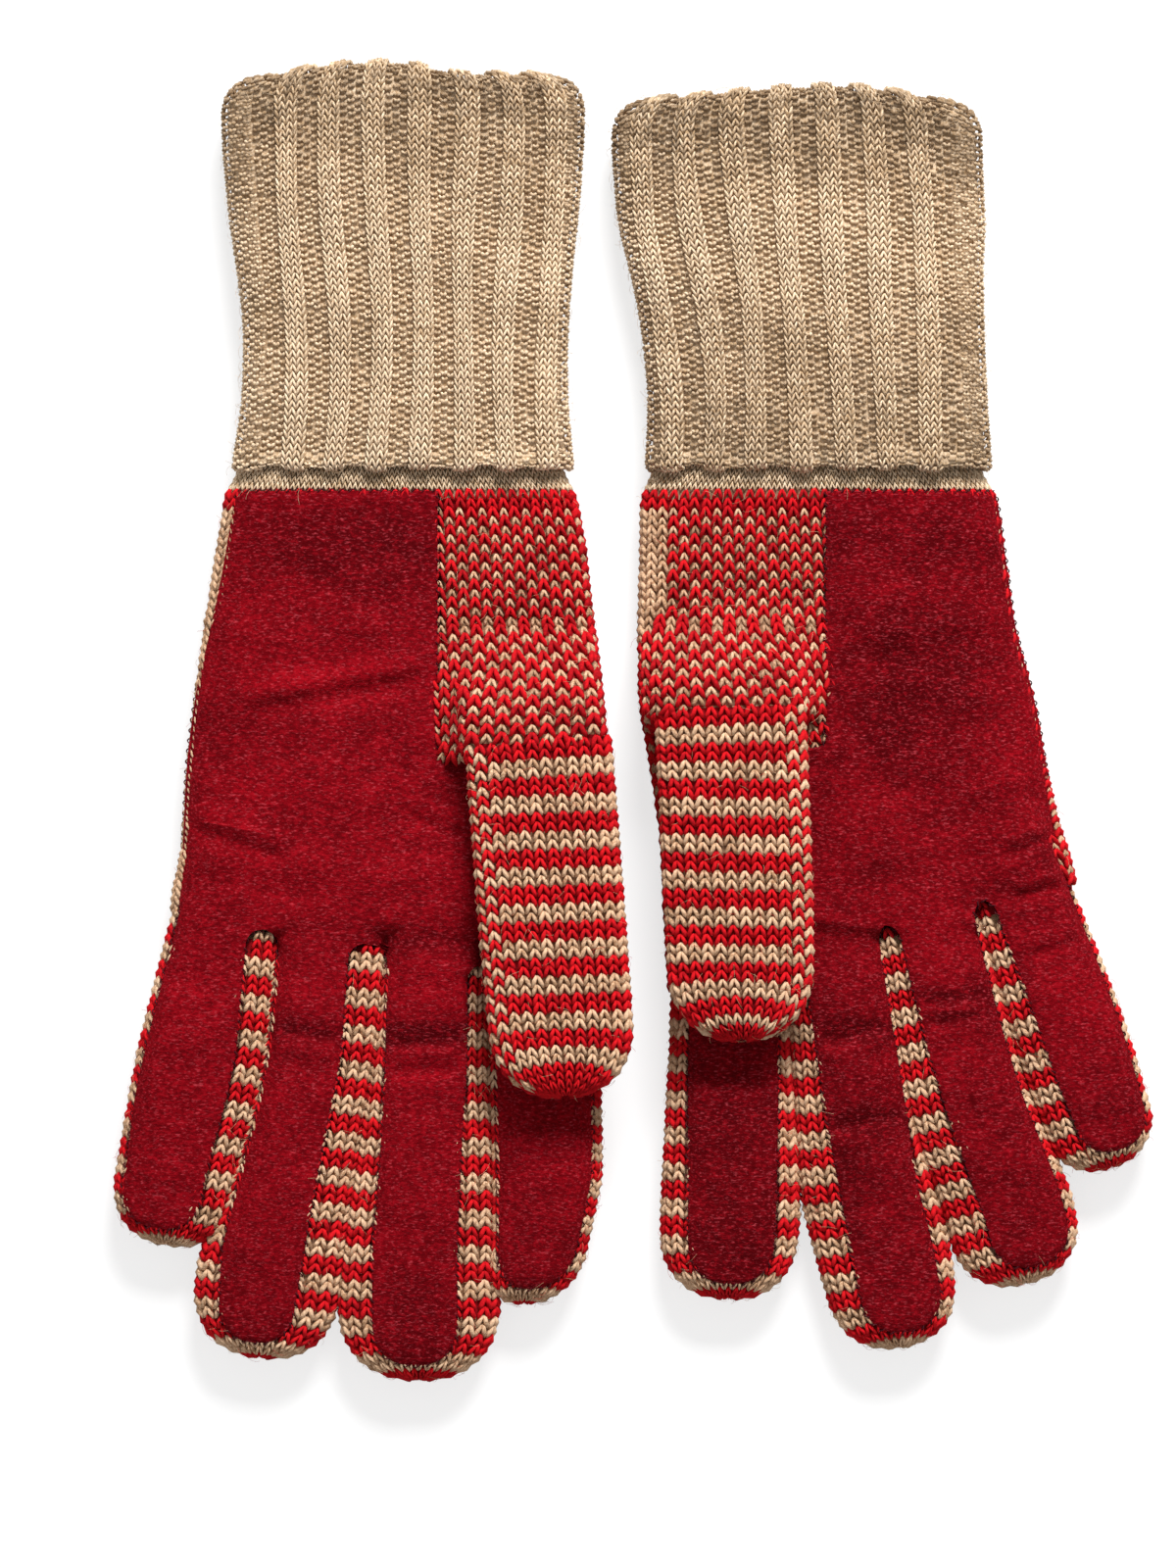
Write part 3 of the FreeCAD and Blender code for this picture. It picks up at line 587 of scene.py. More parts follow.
def points_of(mesh):
    co = np.zeros(len(mesh.vertices) * 3, np.float32)
    mesh.vertices.foreach_get("co", co)
    return co.reshape(-1, 3).astype(float)


def add_object(name, mesh, materials, smooth=True):
    ob = bpy.data.objects.new(name, mesh)
    bpy.context.scene.collection.objects.link(ob)
    for m in materials:
        mesh.materials.append(m)
    mesh.polygons.foreach_set("use_smooth", [smooth] * len(mesh.polygons))
    mesh.update()
    return ob


def knit(name, kind, shape, columns, first, rows, row, width, height, keep, yarn,
         plump=None, sway=0.0, tone_and_painted_shade=(0.0, 1.0), painted_shade_along=None):
    """Stitches in rows from a distance along the tube; keep, yarn and plump say what each one is. The
    shade range gives each stitch a random shade, with dark ones below nought, which is painted shade on
    recessed stitches; the last argument shifts the shade along the tube, painting shade and light along a
    cuff."""
    mesh = repeated(stitch(kind, width, row), columns, rows)
    co = points_of(mesh)
    number = columns * rows
    each = len(co) // number
    r, c = np.divmod(np.arange(number), columns)
    centre = on_tube(shape, (c + 0.5) / columns, first + (r + 0.5) * row, np.zeros(number))
    wanted = keep(r, c, centre)
    colour = yarn(r, c, centre).astype(np.int32)
    lift = height(r, c, centre) + rng.normal(0, 0.05, number)
    co = co.reshape(number, each, 3)
    heart = np.column_stack([c + 0.5, r + 0.5, np.zeros(number)])[:, None]
    size = rng.normal(1, 0.05, number)
    if plump:
        size = plump(r, c, centre) * size
    co = heart + (co - heart) * size[:, None, None]
    co[..., :2] += rng.normal(0, JITTER[kind], (number, 1, 2))
    if kind == "purl":
        co[..., 1] += 0.5 * (c % 2)[:, None]
    flat = co.reshape(-1, 3)
    wave = np.sin(flat[:, 1] / 9.0 + 4.0 * np.sin(flat[:, 0] / columns * 9.0))
    share = flat[:, 0] / columns + sway * wave
    placed = on_tube(shape, share, first + flat[:, 1] * row, flat[:, 2] + np.repeat(lift, each))
    mesh.vertices.foreach_set("co", (placed * MM).astype(np.float32).ravel())
    shades = rng.uniform(*tone_and_painted_shade, number)
    # Shifting the shade along the tube paints shade and light along a cuff.
    if painted_shade_along:
        shades += np.interp(first + r * row, *np.array(painted_shade_along).T)
    write_values(mesh, "shade", np.repeat(np.clip(shades, -1, 1), each))
    mesh.polygons.foreach_set("material_index", np.repeat(colour, len(mesh.polygons) // number))
    ob = add_object(name, mesh, YARNS)
    if not wanted.all():
        bm = bmesh.new()
        bm.from_mesh(mesh)
        gone = np.repeat(~wanted, each)
        bmesh.ops.delete(bm, geom=[v for v, g in zip(bm.verts, gone) if g], context="VERTS")
        bm.to_mesh(mesh)
        bm.free()
    return ob


SUNK = 2.8              # how deep the cloth lies under the suede


def ground(name, shape, columns, first, rows, row, depth, yarn, sunk=None, tone_and_painted_shade=-0.75):
    """The closed cloth under the stitches, sunk deeper where something else is laid over it. Its dark shade
    is painted shade, seen between the stitches.
    """
    bm = bmesh.new()
    bmesh.ops.create_grid(bm, x_segments=columns, y_segments=rows + 2, size=0.5)
    co = np.array([v.co for v in bm.verts]) + [0.5, 0.5, 0]
    level = co[:, 1] * (rows + 2) - 1
    run = first + np.clip(level, 0, rows) * row
    placed = on_tube(shape, co[:, 0], run, np.full(len(co), -depth))
    if sunk:
        placed = on_tube(shape, co[:, 0], run, np.where(sunk(placed), -SUNK, -depth))
    i = np.interp(run, shape["run"], np.arange(len(shape["run"]))).astype(int)
    heart = shape["points"][i].mean(axis=1)
    end = (level < -0.5) | (level > rows + 0.5)
    placed[end] = heart[end]
    for v, p in zip(bm.verts, placed * MM):
        v.co = p
    for f in bm.faces:
        r, c = divmod(f.index, columns)
        corner = placed[None, min(r, rows) * (columns + 1) + c]
        f.material_index = int(yarn(np.array([max(0, r - 1)]), np.array([c]), corner)[0])
    bmesh.ops.remove_doubles(bm, verts=bm.verts, dist=1e-6)
    bmesh.ops.recalc_face_normals(bm, faces=bm.faces)
    mesh = mesh_from(bm, name)
    write_values(mesh, "shade", np.full(len(mesh.vertices), tone_and_painted_shade))
    return add_object(name, mesh, YARNS)


# %% Thread and loose fibres


def strands(name, lines, radius, materials, which):
    """Thin round strands along lines of points."""
    curve = bpy.data.curves.new(name, "CURVE")
    curve.dimensions = "3D"
    curve.bevel_depth = radius * MM
    curve.bevel_resolution = 0
    curve.use_fill_caps = True
    for m in materials:
        curve.materials.append(m)
    for line, number in zip(lines, which):
        spline = curve.splines.new("POLY")
        spline.points.add(len(line) - 1)
        spline.points.foreach_set("co", np.column_stack([line * MM, np.ones(len(line))]).ravel())
        spline.material_index = int(number)
    ob = bpy.data.objects.new(name + " curve", curve)
    bpy.context.scene.collection.objects.link(ob)
    mesh = evaluated(ob)
    bpy.data.objects.remove(ob)
    return add_object(name, mesh, [])


def fuzz(name, shape, count, low, high, keep, colour):
    """Wool fibres that stand away from the knitting."""
    share, run = rng.random(count), rng.uniform(low, high, count)
    base = on_tube(shape, share, run, np.full(count, 0.55))
    out = on_tube(shape, share, run, np.full(count, 1.55)) - base
    kept = keep(base)
    base, out = base[kept], out[kept]
    way = rng.normal(size=base.shape)
    way -= out * np.sum(way * out, axis=1, keepdims=True)
    way /= np.linalg.norm(way, axis=1, keepdims=True)
    curl = np.cross(out, way)
    t = np.linspace(0, 1, 5)[None, :, None]
    length = rng.uniform(1.4, 4.0, len(base))[:, None, None]
    lines = (base[:, None] + way[:, None] * length * t
             + curl[:, None] * rng.normal(0, 0.9, length.shape) * t ** 2
             + out[:, None] * rng.uniform(0.3, 1.0, length.shape) * np.sin(t * 2.6))
    lines[..., 2] = np.maximum(lines[..., 2], 0.15)
    return strands(name, lines, 0.03, YARNS, colour(base))


# %% [markdown]
# ### Hands
# Plain oatmeal rows under the cuff, two red rows, then a bird's eye pattern of single beige stitches
# on red with plain beige columns along the sides. Where the suede lies there are no stitches.

# %% Knit the hands
HAND_FIRST = -18.0      # the first row, hidden in the cuff
PLAIN_RED = 4.6         # down to here the palm side is plain red
BAND_END = 0.1          # and down to here it is the oatmeal band


def hand_yarn(glove):
    def yarn(r, c, centre):
        _, down = across_down(glove, centre)
        share = (c + 0.5) / HAND_COLUMNS
        colour = np.where((r + c + (down > 31.5)) % 2 == 0, BEIGE_YARN, RED_YARN)
        if glove == "left":
            strip = (share > 0.705) & (share < 0.765) | (share > 0.18) & (share < 0.235)
        else:
            narrowed = 0.30 - 0.06 * ease((down - 22) / 22)
            strip = (share > 0.235) & (share < narrowed) | (share > 0.77) & (share < 0.83)
        colour = np.where(strip, BEIGE_YARN, colour)
        colour = np.where(down < PLAIN_RED, RED_YARN, colour)
        return np.where(down < BAND_END, OATMEAL_YARN, colour)
    return yarn


SUEDE_TOP = -0.4
SUEDE_LIFT = 1.15       # of the suede's upper face above the cloth
SUEDE_THICK = 1.0


def suede_side(glove, down):
    """Knit left showing on the little side of the palm."""
    if glove == "left":
        return np.interp(down, [0, 20, 34, 46, 60, 92, 105], [3.0, 2.6, 1.8, 0.5, 0.1, 0.4, 1.6])
    return np.interp(down, [0, 65, 85, 105], [0.1, 0.1, 0.6, 1.6])


def suede_inner(glove, down):
    """Edge of the palm patch towards the thumb; it widens to the whole palm under the thumb."""
    g = GLOVES[glove]
    far = smooth_curve(g["thumb_edge"], down) - 2.2
    begin = 62.5 if glove == "left" else 60.0
    return g["suede_inner"] + (far - g["suede_inner"]) * ease((down - begin) / 7.0)


def root_line(glove, across):
    xs, ys = zip(*GLOVES[glove]["roots"])
    return np.interp(across, xs, ys)


def strip_edges(glove, digit, s, roots):
    """Edges of a finger's suede; at a web it rounds out to meet its neighbour."""
    _, _, little, thumb_side = edges(glove, digit, s)
    flare = [3.9 * (1 - np.sqrt(1 - (1 - np.clip((s - root) / 4.2, 0, 1)) ** 2)) for root in roots]
    if digit != "little":
        little = little - flare[0]
    if digit != "index":
        thumb_side = thumb_side + flare[1]
    end = DIGITS[glove][digit][0] - TIP_MARGIN
    radius = (thumb_side - little) / 2 * 0.98
    middle = (thumb_side + little) / 2
    half = (thumb_side - little) / 2 * rounded_end(s, end, radius, 2.2)
    return middle - half, middle + half


def finger_root(glove, digit):
    """Where the finger's suede starts, little side first: across, down and distance from the hinge."""
    pivot, along, lateral = hinge(glove, digit)
    ends = []
    for side in (0, 1):
        s = -20.0
        for _ in range(40):
            u = strip_edges(glove, digit, np.array([s]), (s, s))[side][0]
            p = pivot[:2] + along * s + lateral * u
            across, down = across_down(glove, np.append(p, 0)[None])
            s += 0.8 * (root_line(glove, across)[0] + 0.3 - down[0])
        ends.append((across[0], down[0], s))
    return ends


ROOTS = {glove: {digit: finger_root(glove, digit) for digit in FINGERS} for glove in GLOVES}


def palm_bottom(glove):
    """The palm patch's lower edge as a line of points from the little side to the thumb side."""
    ends = [end for digit in ("little", "ring", "middle", "index") for end in ROOTS[glove][digit]]
    xs, ys = np.array([e[0] for e in ends]), np.array([e[1] for e in ends])
    for k in (1, 3, 5):
        meet = (xs[k] + xs[k + 1]) / 2
        xs[k], xs[k + 1] = min(xs[k], meet), max(xs[k + 1], meet)
    return xs, ys


def suede_covers(glove, x, y, margin=0.0):
    """Where the palm patch or a strip lies, a little inside its edge."""
    g = GLOVES[glove]
    across, down = glove_place(glove, x, y)
    outer = -(smooth_curve(g["little_edge"], down) - suede_side(glove, down)) + margin
    inner = suede_inner(glove, down) - margin
    bx, by = palm_bottom(glove)
    bottom = np.interp(across, bx, by) - 0.3 * margin
    covered = (across > outer) & (across < inner) & (down > SUEDE_TOP + margin) & (down < bottom)
    for digit in FINGERS:
        pivot, along, lateral = hinge(glove, digit)
        rel = np.column_stack([x, y]) - pivot[:2]
        s, u = rel @ along, rel @ lateral
        roots = [end[2] for end in ROOTS[glove][digit]]
        low, high = strip_edges(glove, digit, s, roots)
        joined = roots[0] + (roots[1] - roots[0]) * np.clip((u - low) / np.maximum(high - low, 0.1), 0, 1)
        room = margin - (margin + 0.5) * (1 - ease((s - joined - 4) / 5.0)) * (margin > -0.5)
        end = DIGITS[glove][digit][0] - TIP_MARGIN - margin
        covered |= (u > low + room) & (u < high - room) & (s > joined - 1.5) & (s < end)
    return covered


def under_suede(glove, points, margin):
    """Points of the palm side that the suede covers."""
    return suede_covers(glove, points[:, 0], points[:, 1], margin) & (points[:, 2] > PALM_SIDE)


for glove in GLOVES:
    shape = TUBES[glove]["hand"]
    rows = int((shape["run"][-1] - HAND_FIRST - 1.5) / STITCH_ROW)

    def keep(r, c, centre):
        across, down = across_down(glove, centre)
        covered = under_suede(glove, centre, 1.4)
        pivot, along, lateral = hinge(glove, "thumb")
        rel = centre[:, :2] - pivot[:2]
        under_thumb = (rel @ along > GLOVES[glove]["thumb_rows_from"] + 0.4) & (np.abs(rel @ lateral) < 17.0)
        inside_thumb = under_thumb & (centre[:, 2] > 16.5)
        return ~covered & ~inside_thumb & (down < root_line(glove, across) + 1.0) & (down > 0)

    def plump(r, c, centre):
        _, down = across_down(glove, centre)
        beside = hand_yarn(glove)(r, c + 1, centre)
        birdseye = (down > PLAIN_RED) & (yarn(r, c, centre) == BEIGE_YARN) & (beside != BEIGE_YARN)
        return np.where(birdseye, 0.82, np.where(down > PLAIN_RED, 1.12, 1.0))

    def sunk(points):
        across, down = across_down(glove, points)
        beyond = down > root_line(glove, across) + np.where(points[:, 2] > PALM_SIDE, -3, 1)
        return under_suede(glove, points, 0.8) | beyond

    yarn = hand_yarn(glove)
    shell = ground(f"{glove}_hand_cloth", shape, HAND_COLUMNS, HAND_FIRST, rows, STITCH_ROW, CLOTH_DEPTH,
                   yarn, sunk)
    piece = knit(f"{glove}_hand_stitches", "knit", shape, HAND_COLUMNS, HAND_FIRST, rows, STITCH_ROW,
                 HAND_STITCH, lambda r, c, p: np.where(yarn(r, c, p) == BEIGE_YARN, -0.05, 0.1), keep,
                 yarn, plump, tone_and_painted_shade=(-0.4, 0.6))
    band = knit(f"{glove}_wrist_band", "knit", shape, 2 * HAND_COLUMNS, HAND_FIRST, 10, BAND_ROW, BAND_STITCH,
                lambda r, c, p: np.full(len(r), 0.1), lambda r, c, p: np.ones(len(r), bool),
                lambda r, c, p: np.full(len(r), OATMEAL_YARN), tone_and_painted_shade=(-0.2, 0.7))
    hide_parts(f"{glove}_hand")
    loose = fuzz(f"{glove}_hand_fuzz", shape, 1100, -2, shape["run"][-1] - 8,
                 lambda p: ~under_suede(glove, p, -0.5),
                 lambda p: np.where(across_down(glove, p)[1] < 0, OATMEAL_YARN, rng.integers(0, 2, len(p))))
    for ob in (shell, piece, band, loose):
        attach(ob, f"{glove}_glove")
    print(piece.name, len(piece.data.polygons), "faces")

# %% [markdown]
# ### Thumbs and fingers
# Two beige rows and two red ones in turn. Each tube starts inside the hand.

# %% Knit the digits


def bend(ob):
    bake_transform(ob)


STRIPE_PHASE = {"thumb": 0, "index": 0, "middle": 1, "ring": 3, "little": 2}


def digit_yarn(digit, columns, rows):
    def yarn(r, c, centre):
        colour = np.where((r + STRIPE_PHASE[digit]) % 4 < 2, RED_YARN, BEIGE_YARN)
        share = (c + 0.5) / columns
        if digit == "thumb":
            edge = (share > 0.66) & (share < 0.76)
            colour = np.where(edge, (r + c) % 2, colour)
            colour = np.where(r >= rows - 2, RED_YARN, colour)
        return colour
    return yarn


for glove in GLOVES:
    for digit in ("thumb",) + FINGERS:
        shape = TUBES[glove][digit]
        thumb = digit == "thumb"
        around = np.linalg.norm(np.diff(shape["points"][60], axis=0), axis=1).sum()
        columns = int(round(around / 3.1))
        first = math.floor(shape["run"][0] / STITCH_ROW + 2) * STITCH_ROW
        if thumb:
            first = GLOVES[glove]["thumb_rows_from"]
        rows = int(round((shape["run"][-1] - first - 0.2) / STITCH_ROW))
        row = (shape["run"][-1] - first - 0.2) / rows

        def keep(r, c, centre):
            if thumb:
                return np.ones(len(r), bool)
            across, down = across_down(glove, centre)
            covered = under_suede(glove, centre, 1.2)
            return (down > root_line(glove, across) + 0.2) & ~covered

        def sunk(points):
            if thumb:
                return np.zeros(len(points), bool)
            across, down = across_down(glove, points)
            covered = under_suede(glove, points, 0.8)
            return covered | (down < root_line(glove, across) - 1)

        def open_to_air(p):
            if thumb:
                return p[:, 2] > 0
            return ~under_suede(glove, p, -0.5)

        yarn = digit_yarn(digit, columns, rows)
        low = first - 8.0 if thumb else first
        more = int((first - low) / row)
        shell = ground(f"{glove}_{digit}_cloth", shape, columns, first - more * row, rows + more, row,
                       CLOTH_DEPTH, lambda r, c, p: yarn(r - more, c, p), sunk)
        piece = knit(f"{glove}_{digit}_stitches", "knit", shape, columns, first, rows, row, DIGIT_STITCH,
                     lambda r, c, p: np.full(len(r), 0.2 if thumb else 0.0), keep, yarn, tone_and_painted_shade=(-0.15, 1.0))
        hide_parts(f"{glove}_thumb" if thumb else f"{glove}_{digit}_finger")
        count, low = (420, 0) if thumb else (300, -6)
        loose = fuzz(f"{glove}_{digit}_fuzz", shape, count, low, shape["run"][-1] - 1, open_to_air,
                     lambda p: rng.integers(0, 2, len(p)))
        for ob in (shell, piece, loose):
            bend(ob)
    print(glove, "digits knitted")

# %% [markdown]
# ### Cuffs
# The knitted rib is turned back at the top, so each cuff runs from its cast-on edge up to the fold,
# over it, and down inside. Three knit and three purl columns in turn, with purl at the two sides.

# %% Knit the cuffs


# Distances up from the cast-on edge. The third list shifts the stitches' shade along the cuff, painted shade
# and light that darken the cuff most towards its top. The fold is how far its top lies below the highest,
# over the width.
CUFFS = {
    "left": {
        "half": [(-5, 41.6), (0, 41.4), (9, 40.0), (18, 39.1), (28, 38.9), (37, 39.2), (47, 40.1),
                 (65, 42.2), (84, 43.6), (110, 43.8)],
        "shift": [(-5, 0.6), (18, 1.2), (37, 1.4), (60, 0.9), (98, 0.7)],
        "painted_shade_along": [(6, 0.15), (26, 0.3), (37, -0.05), (49, 0.25), (61, 0.15), (73, -0.2), (84, -0.5),
                  (96, -0.8), (102, -0.9)],
        "fold": [(-46, -4.6), (-32, -3.6), (-16, -0.7), (-1, 0.0), (5, -1.0), (10, -2.4), (15, -3.1),
                 (30, -3.1), (46, -3.4)],
    },
    "right": {
        "half": [(-5, 41.6), (0, 41.5), (9, 40.8), (18, 40.4), (37, 41.0), (51, 42.2), (65, 43.9),
                 (84, 44.2), (110, 44.2)],
        "shift": [(-5, -0.2), (18, 0.1), (37, 1.4), (51, 2.8), (65, 3.9), (84, 5.0), (110, 5.4)],
        "painted_shade_along": [(6, -0.6), (14, -0.5), (26, -0.3), (37, -0.3), (49, 0.25), (61, 0.3), (68, 0.1),
                  (76, -0.5), (88, -0.9), (98, -1.0)],
        "fold": [(-52, -9.6), (-43, -9.2), (-28, -8.3), (-12, -6.5), (3, -5.7), (14, -6.5), (24, -8.2),
                 (34, -9.4), (46, -10.0)],
    },
}


def cuff_tube(glove):
    g = GLOVES[glove]
    f = FOLD_RADIUS
    out = np.linspace(0, CUFF_LENGTH, 120)
    bend_over = np.linspace(0, math.pi, 16)[1:]
    path = [(4.0, 2.3), (2.0, 2.3), (0.6, 1.9), (0.0, 1.1), (0.35, 0.35)]
    path += [(a, 0.0) for a in out[1:]]
    path += [(CUFF_LENGTH + f * math.sin(a), f - f * math.cos(a)) for a in bend_over]
    path += [(a, 2 * f) for a in np.linspace(94, 72, 26)]
    along, inset = np.array(path).T
    half = smooth_curve(CUFFS[glove]["half"], along) + (-0.2 if glove == "left" else 0.1)
    corner = 1 - np.sqrt(np.clip(1 - np.clip((along - 89.5) / 9.0, 0, 1) ** 2, 0, 1))
    half = half - 8.0 * corner
    shift = smooth_curve(CUFFS[glove]["shift"], along) - (0.0 if glove == "left" else 0.4)
    fold_x, fold_y = np.array(CUFFS[glove]["fold"]).T

    def warp(points):
        across = points[..., 0] - g["wrist_x"]
        up = points[..., 1] - CAST_ON_Y
        wavy = np.mean([np.interp(across + o, fold_x, fold_y) for o in (-4, -2, 0, 2, 4)], axis=0)
        points[..., 1] += wavy * ease((up - 25) / 70) - 0.3
        points[..., 1] += 0.35 * np.sin(across / 2.6) * (1 - ease(up / 5))
        soft = (0.5 * np.sin(across / 19 + up / 23) + 0.3 * np.sin(up / 4.1 + across / 9)
                + 0.3 * np.sin(up / 6.3 - across / 6))
        points[..., 2] += soft * ease((points[..., 2] - 6) / 6)
        return points

    origin = np.array([g["wrist_x"], CAST_ON_Y])
    return tube(origin, np.array([0.0, 1.0]), np.array([g["side"], 0.0]), along, shift, half, 7.9,
                8.5, CUFF_POWER, warp, inset)


CUFF_COLUMNS = CUFF_RIBS * RIB


def cuff_is_knit(c):
    middle = ((c + 1) // RIB * RIB + 0.5) / CUFF_COLUMNS
    side = (np.abs(middle - 0.25) < 0.04) | (np.abs(middle - 0.75) < 0.05)
    return (((c + 1) % RIB) < 3) & ~side


def channel_depth(c):
    """The purl columns lie deep between the ribs and shallow at the two sides."""
    share = (c + 0.5) / CUFF_COLUMNS
    side = np.minimum(np.abs(share - 0.25), np.abs(share - 0.75))
    return -0.8 + 0.7 * (side < 0.055)


for glove in GLOVES:
    shape = cuff_tube(glove)
    rows = int((shape["run"][-1] - 1.4) / CUFF_ROW)

    def plain(r, c, centre):
        return np.full(len(r), OATMEAL_YARN)

    cloth_rows = int(shape["run"][-1] / CUFF_ROW)
    # The cuff cloth's dark shade is painted shade seen between the stitches, lighter than under the hand and
    # digits.
    shell = ground(f"{glove}_cuff_cloth", shape, CUFF_COLUMNS, 0.0, cloth_rows, CUFF_ROW,
                   CUFF_CLOTH_DEPTH, plain, tone_and_painted_shade=-0.25)
    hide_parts(f"{glove}_cuff", f"{glove}_inner_cuff")
    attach(shell, f"{glove}_glove")
    loose = fuzz(f"{glove}_cuff_fuzz", shape, 1300, 3, 100, lambda p: p[:, 2] > 0,
                 lambda p: np.full(len(p), OATMEAL_YARN))
    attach(loose, f"{glove}_glove")
    for face in ("palm", "back"):
        for kind, name in (("knit", "ribs"), ("purl", "channels")):
            def keep(r, c, centre):
                share = (c + 0.5) / CUFF_COLUMNS
                on_palm = (share >= 0.25) & (share < 0.75)
                return (on_palm == (face == "palm")) & (cuff_is_knit(c) == (kind == "knit"))

            def height(r, c, centre):
                return 0.1 + 0.25 * ((c + 1) % RIB == 1) if kind == "knit" else channel_depth(c)

            # Purl channels take a darker shade range than the ribs: painted shade in the recesses between the
            # ribs.
            piece = knit(f"{glove}_cuff_{face}_{name}", kind, shape, CUFF_COLUMNS, 0.4, rows, CUFF_ROW,
                         CUFF_STITCH, height, keep, plain, sway=0.003,
                         tone_and_painted_shade=(0.1, 1.0) if kind == "knit" else (-0.2, 0.5),
                         painted_shade_along=CUFFS[glove]["painted_shade_along"])
            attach(piece, f"{glove}_glove")
            print(piece.name, len(piece.data.polygons), "faces")

# %% [markdown]
# ## Suede
# One patch covers the palm and a strip runs down each finger. All of them follow one height, so the
# strips carry on from the palm without a step.

# %% Cut the suede
# Soft creases: two ends (across, down), height and width.
CREASES = {
    "left": [(-40, 49, 9, 40.5, 1.1, 2.6), (-38, 53, 4, 45.5, -0.7, 2.2), (-52, 80, -28, 88, -0.9, 2.0),
             (-50, 76, -26, 84, 0.9, 2.4), (-50, 92, -22, 97, -0.6, 3.0), (-30, 89, 8, 93, 0.6, 4.0),
             (2, 78, 18, 83, -0.9, 1.7), (4, 107.5, 22, 108.5, -0.9, 2.2), (-2, 114, 20, 115, 0.6, 3.0)],
    "right": [(-44, 84, -62, 77, 0.9, 1.9), (-44, 87.5, -62, 81, -0.9, 1.6), (-46, 97.5, -64, 93, -0.9, 1.6),
              (-46, 94.5, -64, 90, 0.8, 2.0), (-8, 34, -50, 30, 0.7, 3.0), (-6, 40, -46, 44, -0.5, 4.0),
              (2, 102, -16, 105, 0.9, 1.8), (-24, 100, -50, 88, 0.6, 3.0), (-50, 111, -68, 106, -0.8, 1.5)],
}
# Sharp folds at the finger joints: two ends and depth.
FOLDS = {
    "left": [
        (-6, 132.6, 16, 131.0, 1.0), (-6, 139.5, 16, 138.5, 0.45), (-34, 128.0, -12, 132.0, 0.8),
        (18, 134.5, 44, 134, 0.5)],
    "right": [
        (0, 132.8, -19, 127.4, 1.0), (-2, 153.4, -20, 149.4, 0.9), (-5, 172, -19, 171, 0.5),
        (-24, 123.2, -42, 119.8, 0.8), (-24, 128.2, -42, 124.2, 0.75), (32, 142, 8, 142, 0.4)],
}
# Where the suede is painted darker or lighter: place (across, down), reach both ways and amount. Some patches
# are the suede's own tone; those along the folds and creases are painted shade, with painted highlights
# beside them.
NAP_AND_PAINTED_SHADE = {
    "left": [
        (-12, 12, 34, 10, -0.6), (0, 24, 20, 10, -0.25), (-16, 45, 30, 4, 0.4),
        (-42, 55, 14, 7, -0.2), (-28, 70, 16, 5, 0.2), (-6, 94, 32, 6, 0.2), (8, 108, 13, 3, -0.5),
        (6, 117, 14, 4, 0.6), (-26, 117, 14, 4, 0.45), (-52, 120, 10, 8, 0.3),
        (6, 202, 15, 14, -0.5), (32, 188, 13, 12, -0.4), (-34, 198, 15, 9, -0.2),
        (-30, 142, 12, 6, 0.3), (5, 129.8, 14, 3.0, -1.2), (6, 137.5, 13, 4.0, 0.35),
        (-23, 128.8, 12, 3.0, -0.6)],
    "right": [
        (-20, 12, 30, 9, -0.25), (-22, 47, 17, 14, -0.5), (-26, 29, 14, 5, -0.35),
        (-20, 61, 8, 8, -0.2), (-50, 58, 7, 16, 0.25), (-28, 103, 16, 6, 0.5),
        (-30, 112, 12, 8, 0.4), (-62, 122, 12, 14, 0.5), (22, 152, 16, 12, -0.3),
        (22, 182, 16, 14, -0.35), (-4, 166, 12, 14, -0.3), (-34, 134, 9, 6, 0.4),
        (-12, 72, 20, 7, 0.15), (-10, 128.6, 11, 2.8, -0.8), (-11, 150.2, 10, 2.6, -0.7),
        (-33, 120.6, 10, 2, -0.6), (-33, 125.5, 10, 2, -0.45)],
}


def crease(glove, x, y):
    across, down = glove_place(glove, x, y)
    total = np.zeros_like(across)
    folds = [(*fold, None) for fold in FOLDS[glove]]
    for x1, y1, x2, y2, depth, width in CREASES[glove] + folds:
        dx, dy = x2 - x1, y2 - y1
        length = math.hypot(dx, dy)
        t = ((across - x1) * dx + (down - y1) * dy) / length ** 2
        below = ((down - y1) * dx - (across - x1) * dy) / length * (1 if dx > 0 else -1)
        if width is None:
            slope = np.exp(-np.abs(below / 3.4) ** 1.4)
            shape = -1.5 * np.where(below < 0, slope, np.exp(-(below / 1.3) ** 2))
            shape = shape + 0.6 * np.exp(-((below - 3.4) / 2.4) ** 2)
        else:
            shape = np.exp(-(below / width) ** 2)
        total += depth * shape * ease(t / 0.2 + 0.3) * ease((1 - t) / 0.2 + 0.3)
    return total


def hills(x, y, seed):
    """Gentle unevenness of leather that has been worn."""
    total = np.zeros_like(x)
    source = np.random.default_rng(seed)
    for size, depth in ((34, 0.26), (19, 0.18), (10, 0.11), (6, 0.07), (3.2, 0.035)):
        for _ in range(4):
            a = source.uniform(0, math.tau)
            along = x * math.cos(a) + y * math.sin(a)
            total += depth * 0.6 * np.sin(along * math.tau / size + source.uniform(0, 6))
    return np.maximum(total, -0.45)


def nap_and_painted_shade(glove, x, y):
    across, down = glove_place(glove, x, y)
    # A base tone, darker for the right glove, plus the patches above: the suede's own tone, and painted shade
    # and painted highlights at folds and creases.
    total = np.full(x.shape, 0.64 if glove == "left" else 0.4)
    for at, low, wide, tall, amount in NAP_AND_PAINTED_SHADE[glove]:
        total += amount * np.exp(-((across - at) / wide) ** 2 - ((down - low) / tall) ** 2)
    return total


